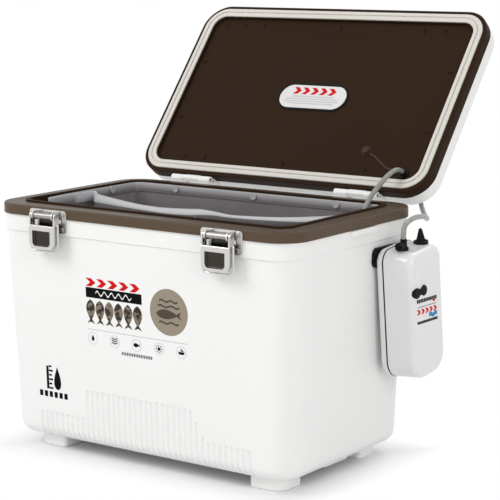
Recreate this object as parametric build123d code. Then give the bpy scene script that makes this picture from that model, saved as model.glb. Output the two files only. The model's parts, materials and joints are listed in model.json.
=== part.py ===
from build123d import *
import os
from math import atan2, cos, degrees, hypot, pi, radians, sin, tan

# Insulated live-bait cooler with a clip-on air pump, lid standing open.
# Millimetres. The origin is on the floor under the middle of the box, +X runs along the length to
# the pump end, the latches are on the -Y face and +Z is up.

# ---- driving dimensions -------------------------------------------------------------------------
LENGTH = 430.0            # over the rim, along X
DEPTH = 264.0             # over the rim, along Y
RIM_TOP = 296.0           # top of the rim band above the floor
RIM_BAND = 12.0           # height of the rim band
RIM_WIDTH = 23.0          # width of the band's flat top
CORNER = 35.0             # plan radius of the rim's corners
RIM_INNER_CORNER = 18.0
FOOT = 16.0               # height of the feet
BODY_INSET = 3.0          # shell wall inside the rim's edge, at the rim
DRAFT = 1.9               # draft of the outside walls, degrees
SHELL = 3.0               # wall of the outer shell
EDGE = 16.0               # rounding round the shell's bottom
COLLAR_BOTTOM = 264.0
COLLAR_INSET = 1.8
LINER = 2.5               # wall of the liner
LIP_WIDTH = 4.0           # upstanding lip of the liner
LIP_RISE = 2.2
CAVITY_FLOOR = 42.0
CAVITY_DRAFT = 1.5
CAVITY_EDGE = 12.0

FLUTE_PITCH = 8.0         # grooves of the panel low on the front
FLUTE_END = 152.0
FLUTE_LOW_TOP = 49.0
FLUTE_HIGH_TOP = 84.0
FLUTE_STEP_X = -80.0
FLUTE_CURVE = (68.0, 96.0)
FLUTE_RADIUS, FLUTE_DEPTH = 2.9, 1.6
FLUTE_WRAP = 80.0         # how far the grooves run round the bottom edge, degrees
FLUTE_LIFT = 0.05         # the bend starts this far above the edge's rounding

LID_OPEN = 129.0          # opening angle of the lid, degrees
HINGE_Y, HINGE_Z = 137.7, 300.4
HINGE_X = 124.0
HINGE_LENGTH = 60.0
KNUCKLE = 4.3             # outside radius of the hinge knuckles
HINGE_PIN = 2.0           # radius
LEAF = 3.0
LID_PLANE = 298.0         # underside of the closed lid's flange
LID_LINER_DEPTH = 13.0
LID_COVER_DEPTH = 21.5
LID_SKIN = 2.5
LID_EDGE = 8.0
PANEL_RECESS = 4.0
PANEL_INSET = 18.5
GASKET_INSET = 5.2
GASKET_WIDTH = 12.0
GASKET_REST = 296.3
PORT_XY = (175.0, 103.0)  # air port through the closed lid

LATCH_X = 125.0
LATCH_PLATE = (56.0, 26.0, 1.5)
LATCH_PLATE_BOTTOM = 268.0
LATCH_Y = -(DEPTH / 2)    # face that the latch plates lie on
LEVER_PIVOT = (-140.0, 287.5)
BAIL_PIVOT = (-140.2, 278.2)
LEVER_HALF = 19.0
LEVER_SKIN = 1.8
LEVER_REACH = 38.5        # from the lever's pivot to its end
BAIL_WIRE = 1.3           # radius
BAIL_REACH = 32.1
BAIL_HALF = 20.9
KEEPER_THICK = 1.1
KEEPER_RIVET_Z = 304.2
BAIL_LATCHED = 9.3        # lean of the bail over the keeper, degrees

PUMP_X = (214.5, 223.5, 225.0, 262.0)   # back, back cover's seam, shell's seam, front
PUMP_Y, PUMP_Z = 77.0, 182.0
PUMP_SIZE = (70.0, 153.0)
PUMP_TILT = 6.0           # the pump hangs a little askew on its bracket, degrees
PUMP_SKIN = 2.2
PUMP_TOP = PUMP_Z + PUMP_SIZE[1] / 2
BARB_XY = (241.0, PUMP_Y - 15)
SWITCH_XY = (243.0, PUMP_Y + 19)
CELL_RADIUS, CELL_HEIGHT = 16.5, 60.0
CELL_XY = (238.5, PUMP_Y + 12.5)
CELL_BOTTOM = 124.0
MOTOR_YZ = (PUMP_Y - 18, 168.0)
CRANK_THROW = 2.0

HOSE_RADIUS = 3.0
HOSE_OUTER = [(241.0, 52.8, 268.6), (241.0, 51.3, 282.3), (238.3, 72.0, 287.6), (233.2, 98.0, 287.5),
              (224.5, 132.0, 282.0), (206.0, 165.0, 272.5), (182.0, 194.5, 278.2),
              (175.0, 199.2, 295.3), (175.0, 186.15, 305.85)]
HOSE_INNER = [(175.0, 158.3, 328.4), (175.0, 145.0, 339.0), (170.0, 128.0, 338.0), (167.0, 113.0, 319.0),
              (165.0, 95.0, 299.0), (162.0, 86.5, 271.0), (157.0, 84.0, 236.0), (151.0, 82.5, 195.0),
              (153.0, 75.0, 150.0), (148.0, 69.0, 106.0), (147.0, 70.0, 76.0)]
STONE = (6.0, 26.0)       # air stone: radius, length

NET_GAP = 3.0             # net bag to the cavity walls
NET_CLOTH = 1.2
NET_TOP = 297.5
HEM_DEPTH = 11.0
NET_FOOT = 60.0           # height at which the slack front meets the well's front wall
NET_FREE_EDGE = [(-200, 2), (-178, 4), (-157, -9), (-120, -24), (-65, -43), (-30, -47), (10, -33),
                 (52, -41), (90, -51), (130, -43), (152, -31), (170, -14), (185, 14), (200, 24)]

half_x, half_y = LENGTH / 2, DEPTH / 2
parts = {}


# ---- shared shapes ------------------------------------------------------------------------------
def block(hx, hy, radius, z0, z1):
    """Upright block with rounded corners, centred on the Z axis."""
    return extrude(Pos(0, 0, z0) * RectangleRounded(2 * hx, 2 * hy, radius), z1 - z0)


def drafted(hx, hy, radius, z_top, z_bottom, draft, edge):
    """Block that narrows towards its bottom, with a rounded bottom edge."""
    drop = (z_top - z_bottom) * tan(radians(draft))
    top = Pos(0, 0, z_top) * RectangleRounded(2 * hx, 2 * hy, radius)
    low = Pos(0, 0, z_bottom) * RectangleRounded(2 * (hx - drop), 2 * (hy - drop), radius)
    solid = loft([low, top], ruled=True)
    return fillet(solid.edges().group_by(Axis.Z)[0], edge)


def box(x, y, z):
    """Box from (low, high) pairs."""
    size = [hi - lo for lo, hi in (x, y, z)]
    return Pos((x[0] + x[1]) / 2, (y[0] + y[1]) / 2, (z[0] + z[1]) / 2) * Box(*size)


def rod(start, end, radius):
    """Cylinder from one point to another."""
    axis = Vector(*end) - Vector(*start)
    return extrude(Plane(origin=start, z_dir=axis) * Circle(radius), axis.length)


def side_prism(outline, x0, x1):
    """Prism along X from an outline of (y, z) points."""
    return extrude(Plane.YZ.offset(x0) * make_face(Polyline(*outline, close=True)), x1 - x0)


def join(shapes):
    return Compound(children=list(shapes))


def both_ways(shape, x):
    """Two copies, at plus and minus x."""
    return [Pos(x, 0, 0) * shape, Pos(-x, 0, 0) * shape]


def opened(shape):
    """Turn a piece of the closed lid into its open place."""
    return shape.rotate(Axis((0, HINGE_Y, HINGE_Z), (1, 0, 0)), -LID_OPEN)


def hung(shape):
    """Turn an upright piece of the pump into its slightly askew place."""
    return shape.rotate(Axis((0, PUMP_Y, PUMP_Z), (1, 0, 0)), PUMP_TILT)


def tube(route, radius, name):
    """Tube along straight runs joined by arcs as large as the runs allow."""
    points = [Vector(*p) for p in route]
    runs = [b - a for a, b in zip(points, points[1:])]
    radii = []
    for before, after in zip(runs, runs[1:]):
        turn = radians(before.get_angle(after))
        radii.append(0.45 * min(before.length, after.length) / tan(turn / 2))
    path = FilletPolyline(*points, radius=radii)
    section = Plane(origin=points[0], z_dir=runs[0]) * Circle(radius)
    solid = sweep(section, path=path)
    print(name, "length", round(path.length, 1), "radii", [round(r, 1) for r in radii],
          "volume ratio", round(solid.volume / (pi * radius**2 * path.length), 4))
    return solid


# ---- box ----------------------------------------------------------------------------------------
BODY_TOP = RIM_TOP - RIM_BAND
body_x, body_y = half_x - BODY_INSET, half_y - BODY_INSET
cavity_x, cavity_y = half_x - RIM_WIDTH - LIP_WIDTH, half_y - RIM_WIDTH - LIP_WIDTH


def outer_body():
    hx, hy, radius = (size - COLLAR_INSET for size in (half_x, half_y, CORNER))
    collar = block(hx, hy, radius, COLLAR_BOTTOM, BODY_TOP)
    collar = chamfer(collar.edges().group_by(Axis.Z)[0], 1.0)
    return drafted(body_x, body_y, CORNER - BODY_INSET, BODY_TOP, FOOT, DRAFT, EDGE) + collar


def shell_void():
    inset = SHELL
    return drafted(body_x - inset, body_y - inset, CORNER - BODY_INSET - inset, BODY_TOP, FOOT + SHELL,
                   DRAFT, EDGE - inset)


def flute_top(x):
    """Height of the fluted panel's upper edge at x."""
    start, end = FLUTE_CURVE
    if x < FLUTE_STEP_X or x >= end:
        return FLUTE_LOW_TOP
    if x < start:
        return FLUTE_HIGH_TOP
    blend = 0.5 + 0.5 * cos(pi * (x - start) / (end - start))
    return FLUTE_LOW_TOP + (FLUTE_HIGH_TOP - FLUTE_LOW_TOP) * blend


def flutes():
    """Round-bottomed grooves that run down the front face and round its bottom edge."""
    slope = radians(DRAFT)
    centre_z = FOOT + EDGE
    centre_y = -body_y + (BODY_TOP - centre_z) * tan(slope) + EDGE / cos(slope)
    reach = EDGE + FLUTE_RADIUS - FLUTE_DEPTH
    start_y, start_z = centre_y - reach * cos(slope), centre_z + FLUTE_LIFT - reach * sin(slope)
    plane = Plane(origin=(0, start_y, start_z), x_dir=(1, 0, 0), z_dir=(0, -sin(slope), cos(slope)))
    section = plane * Circle(FLUTE_RADIUS)
    bend = revolve(section, Axis((0, centre_y, centre_z + FLUTE_LIFT), (1, 0, 0)), FLUTE_WRAP)
    grooves = []
    for i in range(round(2 * FLUTE_END / FLUTE_PITCH) + 1):
        x = -FLUTE_END + i * FLUTE_PITCH
        run = extrude(section, (flute_top(x) - start_z) / cos(slope))
        grooves.append(Pos(x, 0, 0) * (run + bend))
    return grooves


def outer_shell():
    shell = outer_body() - shell_void()
    shell -= flutes()
    for x in (LATCH_X, -LATCH_X):
        pad = box((x - 29, x + 29), (LATCH_Y, LATCH_Y + 6), (COLLAR_BOTTOM + 2, BODY_TOP))
        shell += pad
    for x in (HINGE_X, -HINGE_X):
        shell += box((x - 31, x + 31), (-LATCH_Y - 6, -LATCH_Y), (COLLAR_BOTTOM + 2, BODY_TOP))
    return shell


def liner_outside():
    solid = drafted(cavity_x + LINER, cavity_y + LINER, RIM_INNER_CORNER, RIM_TOP - 4, CAVITY_FLOOR - LINER,
                    CAVITY_DRAFT, CAVITY_EDGE + LINER)
    lip = block(half_x - RIM_WIDTH, half_y - RIM_WIDTH, RIM_INNER_CORNER, RIM_TOP - 8, RIM_TOP + LIP_RISE)
    lip = fillet(lip.edges().group_by(Axis.Z)[-1], 1.0)
    return solid + lip


def cavity(gap=0.0, top=RIM_TOP + 10):
    """The space inside the liner, less a gap all round."""
    extra = (top - RIM_TOP) * tan(radians(CAVITY_DRAFT))
    return drafted(cavity_x - gap + extra, cavity_y - gap + extra, RIM_INNER_CORNER - gap, top,
                   CAVITY_FLOOR + gap, CAVITY_DRAFT, CAVITY_EDGE)


def foam():
    block_up = block(half_x - 3, half_y - 3, CORNER - 3, BODY_TOP, RIM_TOP - 3)
    return shell_void() + block_up - liner_outside()


def rim_trim():
    band = block(half_x, half_y, CORNER, BODY_TOP, RIM_TOP)
    band = fillet(band.edges().group_by(Axis.Z)[-1], 2.0)
    band -= block(half_x - 3, half_y - 3, CORNER - 3, BODY_TOP, RIM_TOP - 3)
    return band - block(half_x - RIM_WIDTH, half_y - RIM_WIDTH, RIM_INNER_CORNER, BODY_TOP, RIM_TOP + 1)


def feet():
    foot = box((136, 180), (60, 100), (0, FOOT))
    outer = foot.edges().filter_by(Axis.Z).sort_by(lambda e: e.center().X + e.center().Y)[-1]
    foot = fillet(outer, 18)
    rest = foot.edges().filter_by(Axis.Z).filter_by(lambda e: e.center().X + e.center().Y < 255)
    foot = fillet(rest, 5)
    foot = fillet(foot.edges().group_by(Axis.Z)[0], 1.5)
    right = [foot, foot.mirror(Plane.XZ)]
    return right + [s.mirror(Plane.YZ) for s in right]


def side_pads():
    pad = box((174, 186), (-23, 23), (FOOT - 5, FOOT))
    pad = fillet(pad.edges().group_by(Axis.Z)[0], 1.2)
    return [pad, pad.mirror(Plane.YZ)]


def strap_lugs():
    """Slotted lug under the rim at each end, for a carrying strap."""
    wall = half_x - COLLAR_INSET
    lug = box((wall, wall + 5), (-15, 35), (BODY_TOP - 6, BODY_TOP - 0.5))
    lug = fillet(lug.edges().filter_by(Axis.Z).sort_by(Axis.X)[-2:], 3.5)
    lug -= box((wall + 1.4, wall + 3.4), (-9, 29), (BODY_TOP - 8, BODY_TOP))
    return [lug, lug.mirror(Plane.YZ)]


parts["outer_shell"] = outer_shell()
parts["insulation_foam"] = foam()
parts["inner_liner"] = liner_outside() - cavity()
parts["rim_trim"] = rim_trim()
parts["corner_feet"] = join(feet())
parts["side_pads"] = join(side_pads())
parts["strap_lugs"] = join(strap_lugs())


# ---- hinges -------------------------------------------------------------------------------------
KNUCKLE_SPLIT = 12.0      # the lid's knuckle is between plus and minus this
half_hinge = HINGE_LENGTH / 2


def knuckle(x0, x1, bore):
    outside = rod((x0, HINGE_Y, HINGE_Z), (x1, HINGE_Y, HINGE_Z), KNUCKLE)
    return outside - rod((x0 - 1, HINGE_Y, HINGE_Z), (x1 + 1, HINGE_Y, HINGE_Z), bore)


def box_leaf():
    wall = half_y
    leaf = box((-half_hinge, half_hinge), (wall, wall + LEAF), (268, 295.5))
    leaf = fillet(leaf.edges().filter_by(Axis.Y).group_by(Axis.Z)[0], 4)
    for side in (-1, 1):
        x0, x1 = sorted((side * KNUCKLE_SPLIT, side * half_hinge))
        riser = box((x0, x1), (wall + 0.2, wall + LEAF), (294, HINGE_Z))
        bore = rod((x0 - 1, HINGE_Y, HINGE_Z), (x1 + 1, HINGE_Y, HINGE_Z), HINGE_PIN + 0.01)
        leaf += riser + knuckle(x0, x1, HINGE_PIN + 0.01)
        gusset = [(wall + LEAF, HINGE_Z - 4), (HINGE_Y + 7.5, HINGE_Z - 2.45),
                  (HINGE_Y + 12, HINGE_Z - 6.1), (wall + LEAF, HINGE_Z - 24)]
        leaf += side_prism(gusset, *sorted((side * 24.5, side * half_hinge)))
        leaf -= bore
    return leaf


def lid_leaf():
    wall = half_y
    edge = KNUCKLE_SPLIT - 0.3
    leaf = box((-half_hinge, half_hinge), (wall, wall + LEAF - 0.4), (306, 324))
    leaf = fillet(leaf.edges().filter_by(Axis.Y).group_by(Axis.Z)[-1], 4)
    leaf += box((-edge, edge), (wall + 0.2, HINGE_Y), (HINGE_Z, 307))
    leaf += knuckle(-edge, edge, HINGE_PIN + 0.03)
    return leaf - rod((-edge - 1, HINGE_Y, HINGE_Z), (edge + 1, HINGE_Y, HINGE_Z), HINGE_PIN + 0.03)


def hinge_screw(x, face, z):
    """Pan-head screw driven towards the box from the back."""
    head = rod((x, face, z), (x, face + 1.4, z), 3.0)
    head = fillet(head.edges().group_by(Axis.Y)[-1], 0.9)
    return head - box((x - 2, x + 2), (face + 0.8, face + 2), (z - 0.4, z + 0.4))


parts["hinge_box_leaves"] = join(both_ways(box_leaf(), HINGE_X))
hinge_pin = rod((-half_hinge, HINGE_Y, HINGE_Z), (half_hinge, HINGE_Y, HINGE_Z), HINGE_PIN)
parts["hinge_pins"] = join(both_ways(hinge_pin, HINGE_X))
parts["hinge_box_screws"] = join(
    s for x in (-18, 18) for s in both_ways(hinge_screw(x, half_y + LEAF, 276), HINGE_X))
parts["hinge_lid_leaves"] = opened(join(both_ways(lid_leaf(), HINGE_X)))
parts["hinge_lid_screws"] = opened(join(
    s for x in (-18, 18) for s in both_ways(hinge_screw(x, half_y + LEAF - 0.4, 316), HINGE_X)))


# ---- lid, drawn closed and then opened ----------------------------------------------------------
COVER_BOTTOM = LID_PLANE + LID_LINER_DEPTH
LID_TOP = COVER_BOTTOM + LID_COVER_DEPTH
PANEL_Z = LID_PLANE + PANEL_RECESS


def lid_hole(radius):
    x, y = PORT_XY
    return rod((x, y, LID_PLANE - 5), (x, y, LID_TOP + 5), radius)


def lid_liner():
    pan = block(half_x, half_y, CORNER, LID_PLANE, COVER_BOTTOM)
    pan = fillet(pan.edges().group_by(Axis.Z)[0], 1.2)
    skin = LID_SKIN
    pan -= block(half_x - skin, half_y - skin, CORNER - skin, LID_PLANE + skin, COVER_BOTTOM + 1)
    tray = PANEL_INSET - skin
    pan += block(half_x - tray, half_y - tray, RIM_INNER_CORNER + 2, LID_PLANE, PANEL_Z + skin)
    pan -= block(half_x - PANEL_INSET, half_y - PANEL_INSET, RIM_INNER_CORNER, LID_PLANE - 1, PANEL_Z)
    pan -= gasket_ring(0.1, LID_PLANE - 1, LID_PLANE + 1.3)
    return pan - tab_pockets() - lid_hole(4.6)


def tab_pockets():
    """Pairs of small wedge pockets round the panel, where the liner snaps to the cover."""
    wedge = make_face(Polyline((-2.5, 0), (2.5, 0), (1.0, 7.0), (-1.0, 7.0), close=True))
    wedge = extrude(wedge, 1.0)
    pockets = []
    long_rows = ((-176, -147, -117, 3, 127, 157), (-150, -118, 3, 123))
    for y, turn, row in ((-106, 0, long_rows[0]), (108, 180, long_rows[1])):
        pockets += [Pos(x, y, PANEL_Z - 0.01) * Rot(0, 0, turn) * wedge for x in row]
    for x, turn in ((-189, -90), (189, 90)):
        pockets += [Pos(x, y, PANEL_Z - 0.01) * Rot(0, 0, turn) * wedge for y in (-42, 46)]
    return pockets


def gasket_ring(clearance, z0, z1):
    outside, inside = GASKET_INSET - clearance, GASKET_INSET + GASKET_WIDTH + clearance
    ring = block(half_x - outside, half_y - outside, CORNER - outside, z0, z1)
    return ring - block(half_x - inside, half_y - inside, CORNER - inside, z0 - 1, z1 + 1)


def lid_gasket():
    """Soft seal with two beads and a groove between them."""
    ring = gasket_ring(0, GASKET_REST, LID_PLANE + 1.3)
    low_edges = ring.edges().group_by(Axis.Z)[0]
    ring = fillet(low_edges, 1.2)
    a, b = GASKET_INSET + GASKET_WIDTH / 2 - 1.1, GASKET_INSET + GASKET_WIDTH / 2 + 1.1
    groove = block(half_x - a, half_y - a, CORNER - a, GASKET_REST - 1, GASKET_REST + 1.4)
    groove -= block(half_x - b, half_y - b, CORNER - b, GASKET_REST - 2, GASKET_REST + 2)
    return ring - groove


def lid_cover():
    inset = 0.6
    cover = block(half_x - inset, half_y - inset, CORNER - inset, COVER_BOTTOM, LID_TOP)
    cover = fillet(cover.edges().group_by(Axis.Z)[-1], LID_EDGE)
    skin = LID_SKIN + inset
    hollow = block(half_x - skin, half_y - skin, CORNER - skin, COVER_BOTTOM - 1, LID_TOP - LID_SKIN)
    hollow = fillet(hollow.edges().group_by(Axis.Z)[-1], LID_EDGE - LID_SKIN)
    return cover - hollow - lid_hole(4.6)


def lid_foam():
    skin = LID_SKIN + 0.6
    fill = block(half_x - skin, half_y - skin, CORNER - skin, LID_PLANE + LID_SKIN, LID_TOP - LID_SKIN)
    fill = fillet(fill.edges().group_by(Axis.Z)[-1], LID_EDGE - LID_SKIN)
    tray = PANEL_INSET - LID_SKIN
    fill -= block(half_x - tray, half_y - tray, RIM_INNER_CORNER + 2, LID_PLANE, PANEL_Z + LID_SKIN)
    return fill - lid_hole(4.6)


def badge(length, width, z0, z1):
    return extrude(Pos(4.5, 4, z0) * SlotOverall(length, width), z1 - z0)


def air_port():
    """Barbed tube through the lid, with a flange on each face."""
    x, y = PORT_XY
    body = rod((x, y, LID_PLANE + 1), (x, y, LID_TOP + 2), 4.4)
    body += rod((x, y, PANEL_Z - 1.6), (x, y, PANEL_Z), 7.5)
    body += rod((x, y, LID_TOP), (x, y, LID_TOP + 1.6), 7.5)
    return body - rod((x, y, LID_PLANE), (x, y, LID_TOP + 3), 2.0)


STOPPER_XY = (113.0, 77.0)


def port_stopper():
    """Rubber stopper for the air port, parked on the panel."""
    x, y = STOPPER_XY
    plug = rod((x, y, PANEL_Z - 4.5), (x, y, PANEL_Z), 5.0)
    plug = fillet(plug.edges().group_by(Axis.Z)[0], 1.5)
    return plug + rod((x, y, PANEL_Z - 1.2), (x, y, PANEL_Z), 6.5)


def stopper_strap():
    start = (STOPPER_XY[0] + 6.2, STOPPER_XY[1] + 3)
    end = (PORT_XY[0] - 8.8, PORT_XY[1] - 4.2)
    line = Spline(start, (136, 89), (150, 98), end)
    return extrude(Pos(0, 0, PANEL_Z - 1.2) * trace(line, 2.4), 1.2)


def keeper():
    """Hooked strip on the lid's front edge that the bail pulls down on."""
    lean = radians(BAIL_LATCHED)
    bar_y = BAIL_PIVOT[0] + BAIL_REACH * sin(lean)
    bar_z = BAIL_PIVOT[1] + BAIL_REACH * cos(lean)
    top = bar_z - BAIL_WIRE - 0.2
    outer = bar_y - BAIL_WIRE - 0.3
    low = top - KEEPER_THICK
    strip = box((-14, 14), (-half_y - KEEPER_THICK, -half_y), (KEEPER_RIVET_Z - 3, COVER_BOTTOM - 0.2))
    ledge = box((-10, 10), (outer - KEEPER_THICK, -half_y), (low, top))
    return strip + ledge + box((-10, 10), (outer - KEEPER_THICK, outer), (low, bar_z + 0.4))


def keeper_rivet(x):
    face = -half_y - KEEPER_THICK
    head = rod((x, face, KEEPER_RIVET_Z), (x, face - 1.1, KEEPER_RIVET_Z), 1.8)
    return fillet(head.edges().group_by(Axis.Y)[0], 0.7)


lid_parts = {
    "lid_liner": lid_liner(),
    "lid_gasket": lid_gasket(),
    "lid_cover": lid_cover(),
    "lid_foam": lid_foam(),
    "badge_frame": badge(104, 39.5, PANEL_Z - 1.2, PANEL_Z) - badge(99, 34.5, PANEL_Z - 2, PANEL_Z - 0.6),
    "badge_plate": badge(98.6, 34.1, PANEL_Z - 1.4, PANEL_Z - 0.6),
    "air_port": air_port(),
    "port_stopper": port_stopper(),
    "stopper_strap": stopper_strap(),
    "latch_keepers": join(both_ways(keeper(), LATCH_X)),
    "keeper_rivets": join(r for x in (-11, 11) for r in both_ways(keeper_rivet(x), LATCH_X)),
}
for name, shape in lid_parts.items():
    parts[name] = opened(shape)


# ---- latches ------------------------------------------------------------------------------------
plate_face = LATCH_Y - LATCH_PLATE[2]
EAR = (14.0, 16.0)        # inner and outer faces of the plate's ears
pivot_y, pivot_z = LEVER_PIVOT
bail_y, bail_z = BAIL_PIVOT


def latch_plate():
    width, height, thick = LATCH_PLATE
    top = LATCH_PLATE_BOTTOM + height
    plate = box((-width / 2, width / 2), (plate_face, LATCH_Y), (LATCH_PLATE_BOTTOM, top))
    plate = fillet(plate.edges().filter_by(Axis.Y), 4)
    for side in (-1, 1):
        x0, x1 = sorted((side * EAR[0], side * EAR[1]))
        ear = box((x0, x1), (pivot_y, plate_face), (pivot_z - 5, pivot_z + 5))
        ear += rod((x0, pivot_y, pivot_z), (x1, pivot_y, pivot_z), 5.0)
        plate += ear
    return plate - rod((-30, pivot_y, pivot_z), (30, pivot_y, pivot_z), 2.0)


def latch_screw(x, z):
    head = rod((x, plate_face, z), (x, plate_face - 1.4, z), 2.6)
    head = fillet(head.edges().group_by(Axis.Y)[0], 0.8)
    return head - box((x - 1.8, x + 1.8), (plate_face - 2, plate_face - 0.8), (z - 0.35, z + 0.35))


def latch_pin():
    """Shouldered pivot pin riveted between the ears."""
    pin = rod((-19.2, pivot_y, pivot_z), (19.2, pivot_y, pivot_z), 2.0)
    return pin + rod((-13.7, pivot_y, pivot_z), (13.7, pivot_y, pivot_z), 3.3)


def latch_lever():
    """Pressed lever: two flanges on the pivot, a rolled upper edge and a dished grip."""
    front, back = pivot_y - 6.2, pivot_y + 1.0
    low, top = pivot_z - LEVER_REACH, pivot_z - 10.5
    grip = box((-LEVER_HALF, LEVER_HALF), (front, back), (low, top))
    grip = fillet(grip.edges().filter_by(Axis.Y).group_by(Axis.Z)[0], 8)
    grip = fillet(grip.faces().sort_by(Axis.Y)[0].edges(), 1.3)
    inner = LEVER_HALF - LEVER_SKIN
    dish = box((-13.5, 13.5), (front - 1, front + 3.2), (low + 3.5, top - 6.5))
    dish = fillet(dish.edges().filter_by(Axis.Y).group_by(Axis.Z)[0], 5)
    dish = fillet(dish.faces().sort_by(Axis.Y)[-1].edges(), 1.4)
    hollow = box((-inner, inner), (front + 4.7, back + 1), (low + 2, top + 1))
    hollow += box((-12, 12), (front + 1.6, back + 1), (top - 5.0, top + 1))
    lever = grip - dish - hollow
    for side in (-1, 1):
        x0, x1 = sorted((side * inner, side * LEVER_HALF))
        flange = [(pivot_y - 4.3, pivot_z), (pivot_y + 4.3, pivot_z),
                  (back + 1.2, top - 6), (front + 1.4, top - 2)]
        lever += side_prism(flange, x0, x1) + rod((x0, pivot_y, pivot_z), (x1, pivot_y, pivot_z), 4.3)
    lever -= rod((-30, pivot_y, pivot_z), (30, pivot_y, pivot_z), 2.04)
    for side in (-1, 1):
        lever -= rod((side * 16, bail_y, bail_z), (side * 30, bail_y, bail_z), BAIL_WIRE + 0.06)
    return lever


def latch_bail():
    """Bent wire that hangs round the lever's end and swings up over the keeper."""
    stub = LEVER_HALF - LEVER_SKIN - 0.6
    low = bail_z - BAIL_REACH
    corners = [(-stub, bail_z), (-BAIL_HALF, bail_z), (-BAIL_HALF, low),
               (BAIL_HALF, low), (BAIL_HALF, bail_z), (stub, bail_z)]
    path = FilletPolyline(*[(x, bail_y, z) for x, z in corners], radius=[1.5, 7.0, 7.0, 1.5])
    section = Plane(origin=(-stub, bail_y, bail_z), z_dir=(-1, 0, 0)) * Circle(BAIL_WIRE)
    return sweep(section, path=path)


parts["latch_plates"] = join(both_ways(latch_plate(), LATCH_X))
parts["latch_screws"] = join(
    s for x in (-21.5, 21.5) for z in (288.7, 272) for s in both_ways(latch_screw(x, z), LATCH_X))
parts["latch_pins"] = join(both_ways(latch_pin(), LATCH_X))
for side, x in (("left", -LATCH_X), ("right", LATCH_X)):
    parts["latch_lever_" + side] = Pos(x, 0, 0) * latch_lever()
    parts["latch_bail_" + side] = Pos(x, 0, 0) * latch_bail()


# ---- air pump, drawn upright and then hung ------------------------------------------------------
PUMP_TAPER = 2.0


def pump_outline(inset=0.0, shrink=0.0):
    width, height = (size - 2 * inset - 2 * shrink for size in PUMP_SIZE)
    outline = Rectangle(width, height)
    low, high = outline.vertices().group_by(Axis.Y)[0], outline.vertices().group_by(Axis.Y)[-1]
    outline = fillet(low, 24 - inset)
    outline = fillet(outline.vertices().filter_by(lambda v: v.Y > height / 2 - 1), 15 - inset)
    return outline


def pump_slab(x0, x1, inset=0.0, shrink=0.0):
    """Loft between the outline at x0 and the outline shrunk all round at x1."""
    start = Plane.YZ.offset(x0) * Pos(PUMP_Y, PUMP_Z) * pump_outline(inset)
    end = Plane.YZ.offset(x1) * Pos(PUMP_Y, PUMP_Z) * pump_outline(inset, shrink)
    return loft([start, end], ruled=True)


def pump_back_cover():
    back, seam = PUMP_X[0], PUMP_X[1]
    cover = pump_slab(back, seam)
    cover = fillet(cover.edges().group_by(Axis.X)[0], 5)
    return cover - pump_slab(back + PUMP_SKIN, seam + 1, PUMP_SKIN)


def pump_front_form():
    """Outside of the front shell, solid."""
    form = pump_slab(PUMP_X[2], PUMP_X[3], 0, PUMP_TAPER)
    return fillet(form.edges().group_by(Axis.X)[-1], 9)


def pump_front_shell():
    seam, front = PUMP_X[2], PUMP_X[3]
    shell = pump_front_form()
    hollow = pump_slab(seam - 1, front - PUMP_SKIN, PUMP_SKIN, PUMP_TAPER)
    hollow = fillet(hollow.edges().group_by(Axis.X)[-1], 6.5)
    shell -= hollow
    x, y = BARB_XY
    shell -= rod((x, y, PUMP_TOP - 10), (x, y, PUMP_TOP + 5), 2.6)
    x, y = SWITCH_XY
    return shell - rod((x, y, PUMP_TOP - 10), (x, y, PUMP_TOP + 5), 3.6)


def pump_gasket():
    return pump_slab(PUMP_X[1], PUMP_X[2], -0.3) - pump_slab(PUMP_X[1] - 1, PUMP_X[2] + 1, 3.5)


def vent_plug():
    """Two-lobed rubber plug on the front of the pump, shaped to the shell behind it."""
    back, front, z = PUMP_X[3] - 3, PUMP_X[3] + 1.6, PUMP_Z + 30
    ends = (PUMP_Y - 26, PUMP_Y - 11.5)
    plug = box((back, front), ends, (z - 3.5, z + 3.5))
    for y in ends:
        plug += rod((back, y, z), (front, y, z), 6.0)
    plug = fillet(plug.edges().group_by(Axis.X)[-1], 0.7)
    return plug - pump_front_form()


def hose_barb():
    x, y = BARB_XY
    barb = rod((x, y, PUMP_TOP + 2), (x, y, PUMP_TOP + 12), 3.7)
    barb += rod((x, y, PUMP_TOP - 12), (x, y, PUMP_TOP + 2.5), 2.5)
    flange = rod((x, y, PUMP_TOP - 2), (x, y, PUMP_TOP + 2.2), 5.2)
    barb += flange - pump_slab(PUMP_X[2], PUMP_X[3], 0, PUMP_TAPER)
    barb += rod((x, y, PUMP_TOP + 5), (x, y - 13, PUMP_TOP + 5), 1.5)
    return barb - rod((x, y, PUMP_TOP - 13), (x, y, PUMP_TOP + 13), 1.3)


def flow_knob():
    x, y = BARB_XY
    knob = rod((x, y - 5.2, PUMP_TOP + 5), (x, y - 12, PUMP_TOP + 5), 5.0)
    knob = fillet(knob.edges().group_by(Axis.Y)[0], 1.0)
    for i in range(12):
        a = 2 * pi * i / 12
        cx, cz = x + 5.3 * cos(a), PUMP_TOP + 5 + 5.3 * sin(a)
        knob -= rod((cx, y - 4, cz), (cx, y - 13, cz), 0.7)
    return knob - rod((x, y - 4, PUMP_TOP + 5), (x, y - 14, PUMP_TOP + 5), 1.56)


def switch_nut():
    x, y = SWITCH_XY
    nut = rod((x, y, PUMP_TOP - 2), (x, y, PUMP_TOP + 2), 8.6)
    nut = fillet(nut.edges().group_by(Axis.Z)[-1], 1.0)
    nut -= rod((x, y, PUMP_TOP - 3), (x, y, PUMP_TOP + 4), 6.6)
    return nut - pump_slab(PUMP_X[2], PUMP_X[3], 0, PUMP_TAPER)


def switch_boot():
    """Rubber cone that covers the toggle and tips with it."""
    x, y = SWITCH_XY
    cone = Pos(x, y, PUMP_TOP + 8.7) * Cone(5.6, 1.7, 15)
    return fillet(cone.edges().group_by(Axis.Z)[-1], 1.2)


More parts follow.
